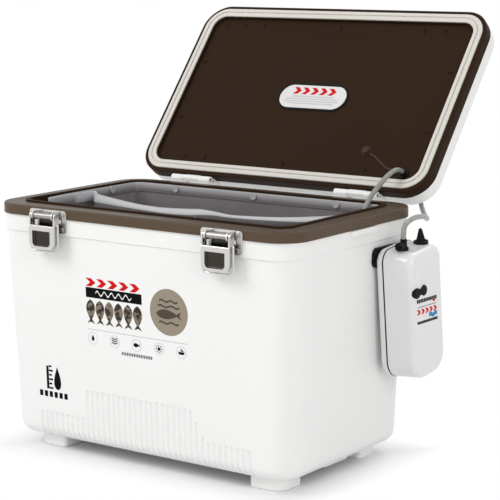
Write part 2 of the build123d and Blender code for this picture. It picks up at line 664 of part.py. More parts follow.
def switch_body():
    x, y = SWITCH_XY
    body = box((x - 6, x + 6), (y - 4.5, y + 4.5), (PUMP_TOP - 12, PUMP_TOP - 4.8))
    return body + rod((x, y, PUMP_TOP - 5), (x, y, PUMP_TOP + 0.2), 3.5)


def cells():
    x, y = CELL_XY
    stack = []
    for i in range(2):
        z = CELL_BOTTOM + i * (CELL_HEIGHT + 0.4)
        cell = rod((x, y, z), (x, y, z + CELL_HEIGHT - 1.5), CELL_RADIUS)
        cell = fillet(cell.edges(), 1.0)
        stack.append(cell + rod((x, y, z + CELL_HEIGHT - 2), (x, y, z + CELL_HEIGHT), 4.8))
    return stack


def contacts():
    x, y = CELL_XY
    top = CELL_BOTTOM + 2 * CELL_HEIGHT + 0.4
    low = box((x - 8, x + 8), (y - 7, y + 7), (CELL_BOTTOM - 0.8, CELL_BOTTOM))
    return [low, box((x - 8, x + 8), (y - 7, y + 7), (top, top + 0.8))]


def motor():
    y, z = MOTOR_YZ
    can = rod((217.5, y, z), (243, y, z), 12)
    can = fillet(can.edges(), 1.0) + rod((243, y, z), (244.5, y, z), 3)
    return can - rod((225, y, z), (246, y, z), 1.04)


def crank():
    """Motor shaft, crank disc and pin, turning together."""
    y, z = MOTOR_YZ
    turning = rod((226, y, z), (247, y, z), 1.0) + rod((245, y, z), (248, y, z), 7)
    return turning + rod((248, y, z + CRANK_THROW), (254, y, z + CRANK_THROW), 1.0)


def diaphragm():
    """Rubber disc with a yoke round the crank pin."""
    y, z = MOTOR_YZ
    swing = CRANK_THROW + 1.4
    yoke = box((249.5, 252.5), (y - swing - 2, y + swing + 2), (z - swing - 2, z + swing + 2))
    yoke -= box((249, 253), (y - swing, y + swing), (z - swing, z + swing))
    stem = rod((251, y, z + swing + 2), (251, y, z + 18), 1.5)
    return yoke + stem + rod((247, y, z + 18), (247, y, z + 20), 10)


def air_head():
    y, z = MOTOR_YZ
    head = rod((247, y, z + 20), (247, y, z + 34), 11)
    x, barb_y = BARB_XY
    return head + rod((x, y, z + 34), (x, y, z + 40), 2.5)


def pump_bracket():
    """Black hanger between the end wall and the pump's back, shaped to the drafted wall."""
    arm = box((200, PUMP_X[0] - 0.05), (PUMP_Y - 43, PUMP_Y + 30), (234, 257))
    arm = fillet(arm.edges().filter_by(Axis.X), 8)
    post = box((200, PUMP_X[0] - 0.05), (PUMP_Y - 22, PUMP_Y + 22), (170, 240))
    post = fillet(post.edges().filter_by(Axis.X).group_by(Axis.Z)[0], 8)
    return arm + post - outer_body()


def bracket_screw_points():
    """Two screws through the bracket, sunk behind the pump."""
    return [(PUMP_X[0] - 0.1, PUMP_Y, z) for z in (246, 184)]


def cover_screw_points():
    """Four screws through the pump's back cover into the front shell."""
    return [(PUMP_X[0], PUMP_Y + dy, PUMP_Z + dz) for dy in (-25, 25) for dz in (-58, 64)]


back_cover = pump_back_cover()
bracket = pump_bracket()
for x, y, z in cover_screw_points():
    back_cover -= rod((x - 1, y, z), (x + 1.3, y, z), 2.5)
for x, y, z in bracket_screw_points():
    bracket -= rod((x - 1.9, y, z), (x + 1, y, z), 2.9)
bracket = bracket - hung(pump_slab(PUMP_X[0], PUMP_X[1]))
cover_screws = join(rod((x + 0.1, y, z), (x + 1.2, y, z), 2.4) for x, y, z in cover_screw_points())
pump_parts = {
    "pump_back_cover": back_cover,
    "pump_cover_screws": cover_screws,
    "pump_gasket": pump_gasket(),
    "pump_front_shell": pump_front_shell(),
    "vent_plug": vent_plug(),
    "hose_barb": hose_barb(),
    "flow_knob": flow_knob(),
    "switch_nut": switch_nut(),
    "switch_boot": switch_boot(),
    "switch_body": switch_body(),
    "battery_cells": join(cells()),
    "battery_contacts": join(contacts()),
    "pump_motor": motor(),
    "pump_crank": crank(),
    "pump_diaphragm": diaphragm(),
    "pump_air_head": air_head(),
}
for name, shape in pump_parts.items():
    parts[name] = hung(shape)
parts["pump_bracket"] = bracket
parts["bracket_screws"] = join(rod((x - 1.8, y, z), (x, y, z), 2.8) for x, y, z in bracket_screw_points())


# ---- hose, air stone and net --------------------------------------------------------------------
def air_stone():
    x, y, z = HOSE_INNER[-1]
    radius, length = STONE
    stone = rod((x, y, z - length), (x, y, z - 0.25), radius)
    return fillet(stone.edges(), 1.5)


def slack_front():
    """The space between the well's front wall and the net's slack front."""
    reach = DEPTH
    top, foot = NET_TOP + 10, NET_FOOT
    foot_y = -(cavity_y - NET_GAP) + (RIM_TOP - foot) * tan(radians(CAVITY_DRAFT)) - 1
    sections = []
    for z, line in ((foot, [(x, foot_y) for x, _ in NET_FREE_EDGE]), (top, NET_FREE_EDGE)):
        (x0, y0), (x1, y1) = line[0], line[-1]
        edge = Spline(*[(x, y, z) for x, y in line])
        rest = Polyline((x1, y1, z), (x1, -reach, z), (x0, -reach, z), (x0, y0, z))
        sections.append(make_face(edge + rest))
    return loft(sections, ruled=True)


def net_space(gap, top):
    """The space inside the net, this far from the well's walls."""
    return cavity(gap, top) - Pos(0, gap - NET_GAP, 0) * slack_front()


def net_bag():
    bag = net_space(NET_GAP, NET_TOP) - net_space(NET_GAP + NET_CLOTH, NET_TOP + 5)
    return bag - box((-300, 300), (-300, 300), (NET_TOP - HEM_DEPTH, 400))


def net_hem():
    band = net_space(NET_GAP - 0.6, NET_TOP) - net_space(NET_GAP + NET_CLOTH + 0.6, NET_TOP + 5)
    return band - box((-300, 300), (-300, 300), (0, NET_TOP - HEM_DEPTH))


def net_studs():
    """Press studs that hold the hem to the liner."""
    z = NET_TOP - HEM_DEPTH / 2
    inset = NET_GAP + NET_CLOTH + 0.7 + HEM_DEPTH * tan(radians(CAVITY_DRAFT))
    face_x, face_y = cavity_x - inset, cavity_y - inset
    studs = [rod((x, face_y, z), (x, face_y - 1.6, z), 4.5) for x in (-120, 0, 120)]
    return studs + [rod((x * face_x, 50, z), (x * (face_x - 1.6), 50, z), 4.5) for x in (-1, 1)]


parts["hose_outer"] = tube(HOSE_OUTER, HOSE_RADIUS, "hose_outer")
parts["hose_inner"] = tube(HOSE_INNER, HOSE_RADIUS, "hose_inner")
parts["air_stone"] = air_stone()
parts["bait_net"] = net_bag()
parts["net_hem"] = net_hem()
parts["net_studs"] = join(net_studs())

if __name__ == "__main__":
    os.makedirs("parts", exist_ok=True)
    print("cavity litres", round(cavity(0, RIM_TOP).volume / 1e6, 2))
    for name, shape in parts.items():
        export_step(shape, "parts/" + name + ".step")
    print(len(parts), "parts")
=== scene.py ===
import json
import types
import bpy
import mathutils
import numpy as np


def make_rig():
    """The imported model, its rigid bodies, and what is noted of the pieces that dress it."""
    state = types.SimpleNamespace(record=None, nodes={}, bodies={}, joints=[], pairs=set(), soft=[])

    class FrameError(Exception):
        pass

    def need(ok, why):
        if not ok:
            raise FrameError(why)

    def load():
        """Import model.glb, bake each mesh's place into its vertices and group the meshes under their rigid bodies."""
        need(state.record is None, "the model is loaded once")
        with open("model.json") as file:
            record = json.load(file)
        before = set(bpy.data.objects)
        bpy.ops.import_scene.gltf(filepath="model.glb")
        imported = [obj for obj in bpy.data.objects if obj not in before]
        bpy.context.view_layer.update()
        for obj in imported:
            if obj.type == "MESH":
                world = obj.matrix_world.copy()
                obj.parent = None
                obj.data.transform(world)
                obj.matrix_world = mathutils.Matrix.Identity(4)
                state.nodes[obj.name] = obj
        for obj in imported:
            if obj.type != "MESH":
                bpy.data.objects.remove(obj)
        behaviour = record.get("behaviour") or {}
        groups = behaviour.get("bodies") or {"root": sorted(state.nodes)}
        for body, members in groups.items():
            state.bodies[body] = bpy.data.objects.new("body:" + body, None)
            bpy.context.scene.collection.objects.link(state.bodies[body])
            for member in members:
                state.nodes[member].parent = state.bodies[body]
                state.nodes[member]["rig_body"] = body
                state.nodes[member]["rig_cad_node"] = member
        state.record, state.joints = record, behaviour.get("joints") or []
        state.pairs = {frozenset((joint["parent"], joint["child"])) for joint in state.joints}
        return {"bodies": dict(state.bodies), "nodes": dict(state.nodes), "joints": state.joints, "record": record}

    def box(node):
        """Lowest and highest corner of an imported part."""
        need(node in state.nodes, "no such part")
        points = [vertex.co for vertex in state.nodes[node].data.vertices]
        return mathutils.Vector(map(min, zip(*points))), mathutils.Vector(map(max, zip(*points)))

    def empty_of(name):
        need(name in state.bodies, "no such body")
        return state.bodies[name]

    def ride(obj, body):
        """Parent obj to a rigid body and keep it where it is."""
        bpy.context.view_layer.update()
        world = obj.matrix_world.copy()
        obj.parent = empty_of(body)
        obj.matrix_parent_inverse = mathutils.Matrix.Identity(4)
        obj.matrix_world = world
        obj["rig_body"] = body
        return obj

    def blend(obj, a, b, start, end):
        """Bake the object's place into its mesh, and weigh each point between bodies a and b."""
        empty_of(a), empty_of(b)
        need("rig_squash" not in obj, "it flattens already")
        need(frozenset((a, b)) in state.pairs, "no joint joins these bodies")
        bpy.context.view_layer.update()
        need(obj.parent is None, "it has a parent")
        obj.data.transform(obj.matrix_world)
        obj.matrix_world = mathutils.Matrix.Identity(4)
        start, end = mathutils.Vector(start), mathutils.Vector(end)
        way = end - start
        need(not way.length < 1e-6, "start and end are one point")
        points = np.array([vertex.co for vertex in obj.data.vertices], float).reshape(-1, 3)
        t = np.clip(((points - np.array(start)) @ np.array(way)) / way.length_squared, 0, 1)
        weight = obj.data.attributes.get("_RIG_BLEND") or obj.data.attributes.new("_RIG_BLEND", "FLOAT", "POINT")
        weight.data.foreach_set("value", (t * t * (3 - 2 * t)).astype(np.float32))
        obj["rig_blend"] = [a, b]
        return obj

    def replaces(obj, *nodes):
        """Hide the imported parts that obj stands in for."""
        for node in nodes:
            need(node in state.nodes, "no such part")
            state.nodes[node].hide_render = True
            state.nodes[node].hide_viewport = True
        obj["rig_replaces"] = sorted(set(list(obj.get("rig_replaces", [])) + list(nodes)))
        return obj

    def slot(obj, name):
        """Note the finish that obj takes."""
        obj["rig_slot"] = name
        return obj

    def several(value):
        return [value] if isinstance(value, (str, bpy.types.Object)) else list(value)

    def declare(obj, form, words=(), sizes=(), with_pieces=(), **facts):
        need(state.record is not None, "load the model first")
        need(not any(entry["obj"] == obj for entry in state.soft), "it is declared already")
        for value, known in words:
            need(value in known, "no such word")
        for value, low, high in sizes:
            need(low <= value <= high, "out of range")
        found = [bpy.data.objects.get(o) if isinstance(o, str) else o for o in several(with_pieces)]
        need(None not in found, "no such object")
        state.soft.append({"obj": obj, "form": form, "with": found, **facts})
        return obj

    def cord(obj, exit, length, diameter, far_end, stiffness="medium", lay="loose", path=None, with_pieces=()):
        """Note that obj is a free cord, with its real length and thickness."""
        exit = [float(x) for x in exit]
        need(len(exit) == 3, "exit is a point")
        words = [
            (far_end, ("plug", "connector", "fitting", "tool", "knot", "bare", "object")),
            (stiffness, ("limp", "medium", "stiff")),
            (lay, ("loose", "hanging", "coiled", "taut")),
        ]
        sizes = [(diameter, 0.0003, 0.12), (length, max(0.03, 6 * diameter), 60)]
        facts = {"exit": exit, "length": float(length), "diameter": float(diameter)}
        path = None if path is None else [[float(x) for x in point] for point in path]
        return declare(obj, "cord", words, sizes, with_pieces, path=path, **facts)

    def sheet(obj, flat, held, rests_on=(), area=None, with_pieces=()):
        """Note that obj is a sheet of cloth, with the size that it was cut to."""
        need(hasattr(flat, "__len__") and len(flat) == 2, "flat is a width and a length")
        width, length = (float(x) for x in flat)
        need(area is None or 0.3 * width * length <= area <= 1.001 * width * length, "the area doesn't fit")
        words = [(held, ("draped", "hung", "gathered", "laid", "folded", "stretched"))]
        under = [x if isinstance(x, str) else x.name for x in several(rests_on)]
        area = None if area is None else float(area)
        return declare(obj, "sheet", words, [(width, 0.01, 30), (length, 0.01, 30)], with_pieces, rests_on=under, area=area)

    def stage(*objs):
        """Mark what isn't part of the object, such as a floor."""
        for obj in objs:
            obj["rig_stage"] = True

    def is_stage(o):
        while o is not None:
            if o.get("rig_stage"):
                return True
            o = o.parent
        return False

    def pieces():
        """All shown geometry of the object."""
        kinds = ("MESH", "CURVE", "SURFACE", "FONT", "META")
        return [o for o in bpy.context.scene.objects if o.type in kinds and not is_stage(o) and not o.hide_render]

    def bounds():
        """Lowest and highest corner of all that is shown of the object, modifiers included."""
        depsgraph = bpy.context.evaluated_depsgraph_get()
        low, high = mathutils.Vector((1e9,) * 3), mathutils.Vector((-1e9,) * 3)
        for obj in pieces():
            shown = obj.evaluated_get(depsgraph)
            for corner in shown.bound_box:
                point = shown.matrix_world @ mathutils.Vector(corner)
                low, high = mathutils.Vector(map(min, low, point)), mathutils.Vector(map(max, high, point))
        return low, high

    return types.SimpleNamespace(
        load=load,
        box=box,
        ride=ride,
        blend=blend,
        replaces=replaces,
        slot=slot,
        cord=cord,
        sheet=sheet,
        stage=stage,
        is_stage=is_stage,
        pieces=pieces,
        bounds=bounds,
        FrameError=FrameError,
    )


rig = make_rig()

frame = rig.load()

import json
from math import cos, dist, hypot, pi, radians, sin, tan

import bmesh
import bpy
from bpy.props import FloatProperty, FloatVectorProperty, PointerProperty
from mathutils import Matrix, Vector
from mathutils import noise as field

bl_info = {
    "name": "Live bait cooler",
    "version": (1, 0, 0),
    "blender": (4, 5, 0),
    "location": "3D View > Sidebar > Bait cooler",
    "description": "Dresses the packed live-bait cooler with its finishes, prints, hose and net",
    "category": "Object",
}

MM = 0.001
NODES = frame["nodes"]
CAD_BOUNDS = [list(corner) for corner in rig.bounds()]

# Places on the box, in millimetres, that more than one piece needs.
BODY_TOP = 284.0
BODY_Y = 129.0
DRAFT = radians(1.9)
RIM_TOP = 296.0
WELL = (188.0, 105.0, 18.0)   # half sizes and corner radius of the well at the rim's top
WELL_DRAFT = radians(1.5)
HEM_DEPTH = 12.0              # width of the net's hem tape
LID_OPEN = radians(129.0)
HINGE = (137.7, 300.4)
BADGE = (4.5, 4.0, 300.6)     # middle of the lid's badge plate, with the lid closed
PUMP_MIDDLE = (77.0, 182.0)
PUMP_TILT = radians(6.0)
PUMP_FRONT = 262.0
LATCH_X = 125.0
DISH_HALF = 14.2              # the dish pressed in each lever's grip, whose steel takes painted shade
DISH_HEIGHTS = (251.8, 271.2)
DISH_DEPTH = -146.0
PLATE_HALF = 14.0             # the part of each latch plate between its lever's flanges, whose steel takes painted shade
PLATE_HEIGHTS = (269.0, 290.5)
FRAME_PIXELS = 500.0


# ---- places
def front_point(x, z, lift):
    """A point on the box's drafted front face, raised by lift millimetres, in metres."""
    y = -(BODY_Y - (BODY_TOP - z) * tan(DRAFT))
    return Vector((x, y - lift, z)) * MM


def turned_about(pivot, angle):
    """A turn about the line along X through pivot, which is (y, z) in millimetres."""
    where = Vector((0.0, *pivot)) * MM
    return Matrix.Translation(where) @ Matrix.Rotation(angle, 4, "X") @ Matrix.Translation(-where)


# ---- meshes
def new_object(name, data):
    piece = bpy.data.objects.new(name, data)
    bpy.context.scene.collection.objects.link(piece)
    return piece


def new_piece(name, mesh, look, body, slot):
    piece = new_object(name, mesh)
    paint(mesh, look)
    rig.ride(piece, body)
    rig.slot(piece, slot)
    return piece


def paint(mesh, look):
    """Give a mesh one finish."""
    mesh.materials.clear()
    mesh.materials.append(finish(look))


def mesh_from(points, faces, name, smooth=False, closed=False):
    mesh = bpy.data.meshes.new(name)
    mesh.from_pydata([tuple(p) for p in points], [], faces)
    mesh.update()
    if smooth:
        mesh.shade_smooth()
    if closed:
        turn_outwards(mesh)
    return mesh


def turn_outwards(mesh):
    """Point a closed mesh's faces outwards."""
    built = bmesh.new()
    built.from_mesh(mesh)
    bmesh.ops.recalc_face_normals(built, faces=built.faces)
    built.to_mesh(mesh)
    built.free()


def tube_faces(rows, width, closed=False):
    """Quads between rows of width points each; closed joins the last row to the first."""
    return [(k * width + i, k * width + (i + 1) % width, (k + 1) % rows * width + (i + 1) % width,
             (k + 1) % rows * width + i) for k in range(rows if closed else rows - 1) for i in range(width)]


def slab(outlines, place, low, high, name):
    """One closed thin solid for each flat outline; place(x, y, lift) gives a point in metres."""
    points, faces = [], []
    for outline in outlines:
        first, count = len(points), len(outline)
        points += [place(x, y, lift) for lift in (high, low) for x, y in outline]
        sides = [range(count), range(count, 2 * count), *tube_faces(2, count)]
        faces += [[first + corner for corner in side] for side in sides]
    return mesh_from(points, faces, name, closed=True)


def rectangle(x0, x1, y0, y1):
    return [(x0, y0), (x1, y0), (x1, y1), (x0, y1)]


def disc(x, y, rx, ry=None, sides=48):
    ry = rx if ry is None else ry
    return [(x + rx * cos(2 * pi * i / sides), y + ry * sin(2 * pi * i / sides)) for i in range(sides)]


def bars(x0, x1, y0, y1, count, filled):
    """A row of upright bars from x0 to x1."""
    pitch = (x1 - x0) / (count - 1 + filled)
    return [rectangle(x0 + pitch * k, x0 + pitch * (k + filled), y0, y1) for k in range(count)]


def chevrons(x0, x1, y0, y1):
    """A row of five chevrons that starts at x0 and ends at x1."""
    count = 5
    pitch = (x1 - x0) / count
    band, reach, middle = pitch * 0.5, pitch * 0.42, (y0 + y1) / 2
    shape = ((0.0, y0), (band, y0), (band + reach, middle), (band, y1), (0.0, y1), (reach, middle))
    return [[(x0 + pitch * k + x, y) for x, y in shape] for k in range(count)]


def new_curve(points, name, kind):
    """A bare curve whose control points are points, in metres, and its spline."""
    curve = bpy.data.curves.new(name, "CURVE")
    curve.dimensions = "3D"
    spline = curve.splines.new(kind)
    spline.points.add(len(points) - 1)
    for target, point in zip(spline.points, points):
        target.co = (*point, 1.0)
    return curve, spline


def plain_mesh(source, name):
    """The mesh that an object has after its modifiers, on its own."""
    bpy.context.view_layer.update()
    graph = bpy.context.evaluated_depsgraph_get()
    mesh = bpy.data.meshes.new_from_object(source.evaluated_get(graph), depsgraph=graph)
    mesh.name = name
    return mesh


def row_tree():
    """Geometry nodes that set short round-ended bars along a line."""
    if "bar row" in bpy.data.node_groups:
        return bpy.data.node_groups["bar row"]
    tree = bpy.data.node_groups.new("bar row", "GeometryNodeTree")
    face = tree.interface
    face.new_socket("Line", in_out="INPUT", socket_type="NodeSocketGeometry")
    for name, value in (("Pitch", 0.003), ("Length", 0.002), ("Radius", 0.0003)):
        face.new_socket(name, in_out="INPUT", socket_type="NodeSocketFloat").default_value = value
    face.new_socket("Finish", in_out="INPUT", socket_type="NodeSocketMaterial")
    face.new_socket("Bars", in_out="OUTPUT", socket_type="NodeSocketGeometry")
    nodes, start = Nodes(tree), tree.nodes.new("NodeGroupInput").outputs
    line, pitch, length, radius, look = (Number(nodes, start[name])
                                         for name in ("Line", "Pitch", "Length", "Radius", "Finish"))
    points = nodes.node("GeometryNodeCurveToPoints", {"mode": "LENGTH"}, {"Curve": line, "Length": pitch})
    ball = nodes.node("GeometryNodeMeshUVSphere", None, {"Segments": 6, "Rings": 4})
    stretch = nodes.node("ShaderNodeCombineXYZ", None, {"X": radius, "Y": radius, "Z": length * 0.5})
    shape = nodes.node("GeometryNodeTransform", None, {"Geometry": ball, "Scale": stretch})
    turns = Number(nodes, points.socket.node.outputs["Rotation"])
    placed = nodes.node("GeometryNodeInstanceOnPoints", None,
                        {"Points": points, "Instance": shape, "Rotation": turns})
    real = nodes.node("GeometryNodeRealizeInstances", None, {"Geometry": placed})
    painted = nodes.node("GeometryNodeSetMaterial", None, {"Geometry": real, "Material": look})
    nodes.feed(tree.nodes.new("NodeGroupOutput").inputs["Bars"], painted)
    return tree


def bar_row(points, pitch, length, radius, material, name):
    """A mesh of small bars round a closed line."""
    curve, line = new_curve(points, name + " guide", "POLY")
    line.use_cyclic_u = True
    guide = new_object(name + " guide", curve)
    rows = guide.modifiers.new("rows", "NODES")
    rows.node_group = row_tree()
    wanted = {"Pitch": pitch, "Length": length, "Radius": radius, "Finish": material}
    for item in rows.node_group.interface.items_tree:
        if item.in_out == "INPUT" and item.name in wanted:
            rows[item.identifier] = wanted[item.name]
    mesh = plain_mesh(guide, name)
    bpy.data.objects.remove(guide)
    mesh.shade_smooth()
    return mesh


def thickened(mesh, thickness):
    """A sheet's mesh with its thickness, half of it to each side."""
    holder = new_object(mesh.name + " sheet", mesh)
    skin = holder.modifiers.new("thickness", "SOLIDIFY")
    skin.thickness = thickness
    skin.offset = 0.0
    skin.use_even_offset = False
    solid = plain_mesh(holder, mesh.name)
    bpy.data.objects.remove(holder)
    return solid


# ---- shader arithmetic
class Number:
    """A node's output that can be added, subtracted, multiplied and divided."""

    def __init__(self, nodes, socket):
        self.nodes = nodes
        self.socket = socket

    def maths(self, operation, other=None, swapped=False):
        values = (other, self) if swapped else (self, other)
        return self.nodes.node("ShaderNodeMath", {"operation": operation}, dict(enumerate(values)))

    def __add__(self, other):
        return self.maths("ADD", other)

    def __sub__(self, other):
        return self.maths("SUBTRACT", other)

    def __rsub__(self, other):
        return self.maths("SUBTRACT", other, True)

    def __mul__(self, other):
        return self.maths("MULTIPLY", other)

    def __truediv__(self, other):
        return self.maths("DIVIDE", other)

    __radd__ = __add__
    __rmul__ = __mul__

    def sine(self):
        return self.maths("SINE")

    def size(self):
        return self.maths("ABSOLUTE")

    def clamped(self):
        return self.nodes.node("ShaderNodeClamp", None, {0: self})


class Nodes:
    """A node tree that is built one node at a time."""

    def __init__(self, tree):
        self.tree = tree

    def feed(self, socket, value):
        if isinstance(value, Number):
            self.tree.links.new(value.socket, socket)
        elif hasattr(value, "__len__") and len(value) == 3 and socket.type == "RGBA":
            socket.default_value = (*value, 1.0)
        elif value is not None:
            socket.default_value = value

    def node(self, kind, settings=None, inputs=None, output=0):
        node = self.tree.nodes.new(kind)
        for key, value in (settings or {}).items():
            setattr(node, key, value)
        for key, value in (inputs or {}).items():
            self.feed(node.inputs[key], value)
        return Number(self, node.outputs[output])

    def seen(self):
        """1 where the camera looks, straight or by way of a mirror or glass, and 0 for plain light."""
        camera, glossy, through = (self.node("ShaderNodeLightPath", output=ray)
                                   for ray in ("Is Camera Ray", "Is Glossy Ray", "Is Transmission Ray"))
        return (camera + glossy + through).clamped()


class Finish(Nodes):
    """A material built from one shader, with the nodes that vary it over the surface."""

    def __init__(self, name, tone, roughness, metallic=0.0, **steady):
        self.material = bpy.data.materials.new(name)
        self.material.use_nodes = True
        super().__init__(self.material.node_tree)
        self.shader = self.tree.nodes["Principled BSDF"]
        self.set("Base Color", tone)
        self.set("Roughness", roughness)
        self.set("Metallic", metallic)
        for socket, value in steady.items():
            self.set(socket.replace("_", " "), value)

    def set(self, socket, value):
        self.feed(self.shader.inputs[socket], value)

    def place(self, stretch=(1.0, 1.0, 1.0)):
        """Object coordinates in metres, scaled along each axis."""
        where = self.node("ShaderNodeTexCoord", output="Object")
        if stretch == (1.0, 1.0, 1.0):
            return where
        return self.node("ShaderNodeMapping", None, {"Vector": where, "Scale": stretch})

    def flat(self):
        """The place across and along the flat cloth, in metres."""
        return self.split(self.node("ShaderNodeTexCoord", output="UV"))[:2]

    def slack(self):
        """0 where the net hangs on a wall and 1 along its slack edge, as stored in its meshes."""
        return self.node("ShaderNodeAttribute", {"attribute_name": "slack"}, output=2)

    def split(self, vector):
        node = self.tree.nodes.new("ShaderNodeSeparateXYZ")
        self.feed(node.inputs[0], vector)
        return [Number(self, socket) for socket in node.outputs]

    def noise(self, scale, detail=2.0, stretch=(1.0, 1.0, 1.0)):
        vector = self.place(stretch)
        return self.node("ShaderNodeTexNoise", None, {"Vector": vector, "Scale": scale, "Detail": detail})

    def blend(self, factor, a, b):
        """A colour between a, where factor is 0, and b, where it is 1."""
        return self.node("ShaderNodeMix", {"data_type": "RGBA"}, {0: factor, 6: a, 7: b}, output=2)

    def tone(self, factor, a, b):
        """Colour the surface a where factor is 0 and b where it is 1."""
        self.set("Base Color", self.blend(factor, a, b))

    def relief(self, height, depth, strength=1.0):
        bump = self.node("ShaderNodeBump", None, {"Height": height, "Distance": depth, "Strength": strength})
        self.set("Normal", bump)


def shade(tone, factor, lift=0.0):
    """A colour made lighter or darker."""
    return [min(1.0, c * factor + lift) for c in tone]


def worn(name, tone, roughness, dip, spread, patches, low, high, grain, lift=0.0, **steady):
    """Slightly uneven gloss and colour, and a fine grain given as (scale, depth)."""
    made = Finish(name, tone, roughness, **steady)
    uneven = made.noise(patches, 3.0)
    made.set("Roughness", roughness - dip + uneven * spread)
    made.tone(uneven, shade(tone, low), shade(tone, high, lift))
    made.relief(made.noise(grain[0], 2.0), grain[1])
    return made.material


def moulded(name, tone, roughness, grain=0.00002, grain_scale=1400.0, drift=0.04, **steady):
    """Injection-moulded plastic."""
    return worn(name, tone, roughness, 0.05, 0.1, 9.0, 1 - drift, 1 + drift, (grain_scale, grain), **steady)


def rubbery(name, tone):
    """Dusty rubber."""
    return worn(name, tone, 0.6, 0.1, 0.2, 220.0, 1.0, 1.5, (2600.0, 0.00003), 0.002, Specular_IOR_Level=0.1)


DRAW_LINES = (40.0, 2500.0, 2500.0)  # how fine the steel's draw lines are along each axis
DRAW_DEPTH = 0.000012


def polished_steel(name, tone=(0.68, 0.67, 0.65), roughness=0.16):
    """Pressed stainless steel: fine draw lines and a few smudges."""
    made = Finish(name, tone, roughness, 1.0)
    lines = made.noise(1.0, 2.0, DRAW_LINES)
    smudges = made.noise(70.0, 3.0)
    made.set("Roughness", roughness + lines * 0.08 + (smudges - 0.5) * 0.12)
    made.tone(smudges, shade(tone, 0.9), tone)
    made.relief(lines, DRAW_DEPTH, 0.6)
    return made.material


def steel_with_painted_shade(name, half, heights, deepest=None):
    """The latches' stainless steel, darkened with painted shade in a pressed place within half of each latch's middle.
    """
    # dark is the painted shade that the pressed place takes
    bright, dark = (0.70, 0.69, 0.67), (0.055, 0.050, 0.043)
    made = Finish(name, bright, 0.2, 1.0)
    x, y, z = made.split(made.place())
    across = (x.size() - LATCH_X * MM).size()
    low, high = (height * MM for height in heights)
    edge = 0.001
    inside = ((half * MM - across) / edge).clamped() * ((z - low) / edge).clamped()
    inside = inside * ((high - z) / edge).clamped()
    if deepest is not None:
        inside = inside * ((y - deepest * MM) / (0.8 * edge)).clamped()
    smudges = made.noise(70.0, 3.0)
    steel = made.blend(smudges, shade(bright, 0.9), bright)
    # Paint the shade into the pressed place.
    made.tone(inside, steel, dark)
    made.set("Roughness", 0.18 + smudges * 0.1)
    made.relief(made.noise(1.0, 2.0, DRAW_LINES), DRAW_DEPTH, 0.6)
    return made.material


def rim_with_painted_shade():
    """The rim band's plastic, its sides painted lighter and its top painted darker, as painted light and shade."""
    tone = colour("trim")
    made = Finish("brown trim plastic", tone, 0.38, Specular_IOR_Level=0.14)
    height = made.split(made.place())[2]
    patches = made.noise(9.0, 3.0)
    # Painted shade on the rim's top face under the lid, and painted light on its sides.
    painted_top_shade = ((height - (RIM_TOP - 0.8) * MM) / 0.0006).clamped()
    side = made.blend(patches, shade(tone, 1.05), shade(tone, 1.25))
    flat = made.blend(patches, shade(tone, 0.75), shade(tone, 0.9))
    made.tone(painted_top_shade, side, flat)
    made.set("Roughness", 0.34 + patches * 0.1)
    made.relief(made.noise(1100.0, 2.0), 0.00003)
    return made.material


def gritty(name, tone, roughness, light, dark, scale, **steady):
    """Grit or foam: small cells, each darker away from its middle."""
    made = Finish(name, tone, roughness, **steady)
    cells = made.node("ShaderNodeTexVoronoi", None, {"Vector": made.place(), "Scale": scale})
    made.tone(cells, light, dark)
    made.relief(cells, 0.0003)
    return made.material


def printed(name, tone):
    """Screen-printed ink with a slightly uneven film."""
    made = Finish(name, tone, 0.45, Specular_IOR_Level=0.03)
    film = made.noise(1500.0, 3.0)
    made.tone(film, shade(tone, 0.9), shade(tone, 1.12, 0.003))
    made.relief(film, 0.000008)
    return made.material


def camo_ink():
    """Screen-printed ink in two browns that run into each other in patches."""
    dark, light = (0.050, 0.038, 0.028), (0.24, 0.20, 0.155)
    made = Finish("mottled brown ink", dark, 0.45, Specular_IOR_Level=0.03)
    patches = ((made.noise(150.0, 2.0) - 0.52) * 9.0 + 0.5).clamped()
    made.tone(patches, dark, light)
    made.relief(made.noise(1500.0, 3.0), 0.000008)
    return made.material


def cloth_finish():
    """Knitted net cloth, darkened along its slack front edge with painted shade."""
    tone, cell = colour("net"), 0.0026
    made = Finish("net cloth", tone, 0.85)
    across, along = made.flat()
    row = (across * (2 * pi / cell)).sine()
    column = (along * (2 * pi / cell)).sine()
    knit = (row * column) * 0.5 + 0.5
    wander = made.noise(26.0, 3.0)
    low = made.blend(wander, shade(tone, 0.62), shade(tone, 0.74))
    high = made.blend(wander, shade(tone, 1.02), shade(tone, 1.18))
    # Painted shade: the cloth along the slack front edge is darkened by up to 35 percent.
    made.tone(made.slack() * 0.35, made.blend(knit, low, high), (0.0, 0.0, 0.0))
    made.relief(knit + wander * 0.6, 0.0004)
    return made.material


def hem_finish():
    """Woven elastic tape with ribs along it, which on the walls turns from pale at its top to the cloth's colour lower
    down.
    """
    tone, rib, pick = colour("hem"), 0.0011, 0.0016
    made = Finish("woven hem tape", tone, 0.8)
    across, along = made.flat()
    ribs = (along * (2 * pi / rib)).sine() * 0.5 + 0.5
    picks = (across * (2 * pi / pick)).sine() * 0.5 + 0.5
    weave = ribs * 0.7 + picks * 0.3
    soiled = made.blend(made.noise(40.0, 3.0), shade(tone, 0.82), tone)
    tape = made.blend(weave, shade(tone, 0.85), soiled)
    fade_to_cloth = (0.3 + along / (HEM_DEPTH * MM) * 0.9).clamped() * (1.0 - made.slack())
    made.tone(fade_to_cloth, tape, colour("net"))
    made.relief(weave, 0.00025)
    return made.material


FINISHES = {}


def finish(name):
    """The named finish, made once."""
    if name not in FINISHES:
        FINISHES[name] = printed(name, INKS[name]) if name in INKS else MAKERS[name]()
    return FINISHES[name]


def colour(name):
    return list(getattr(bpy.context.scene.bait_colours, name))


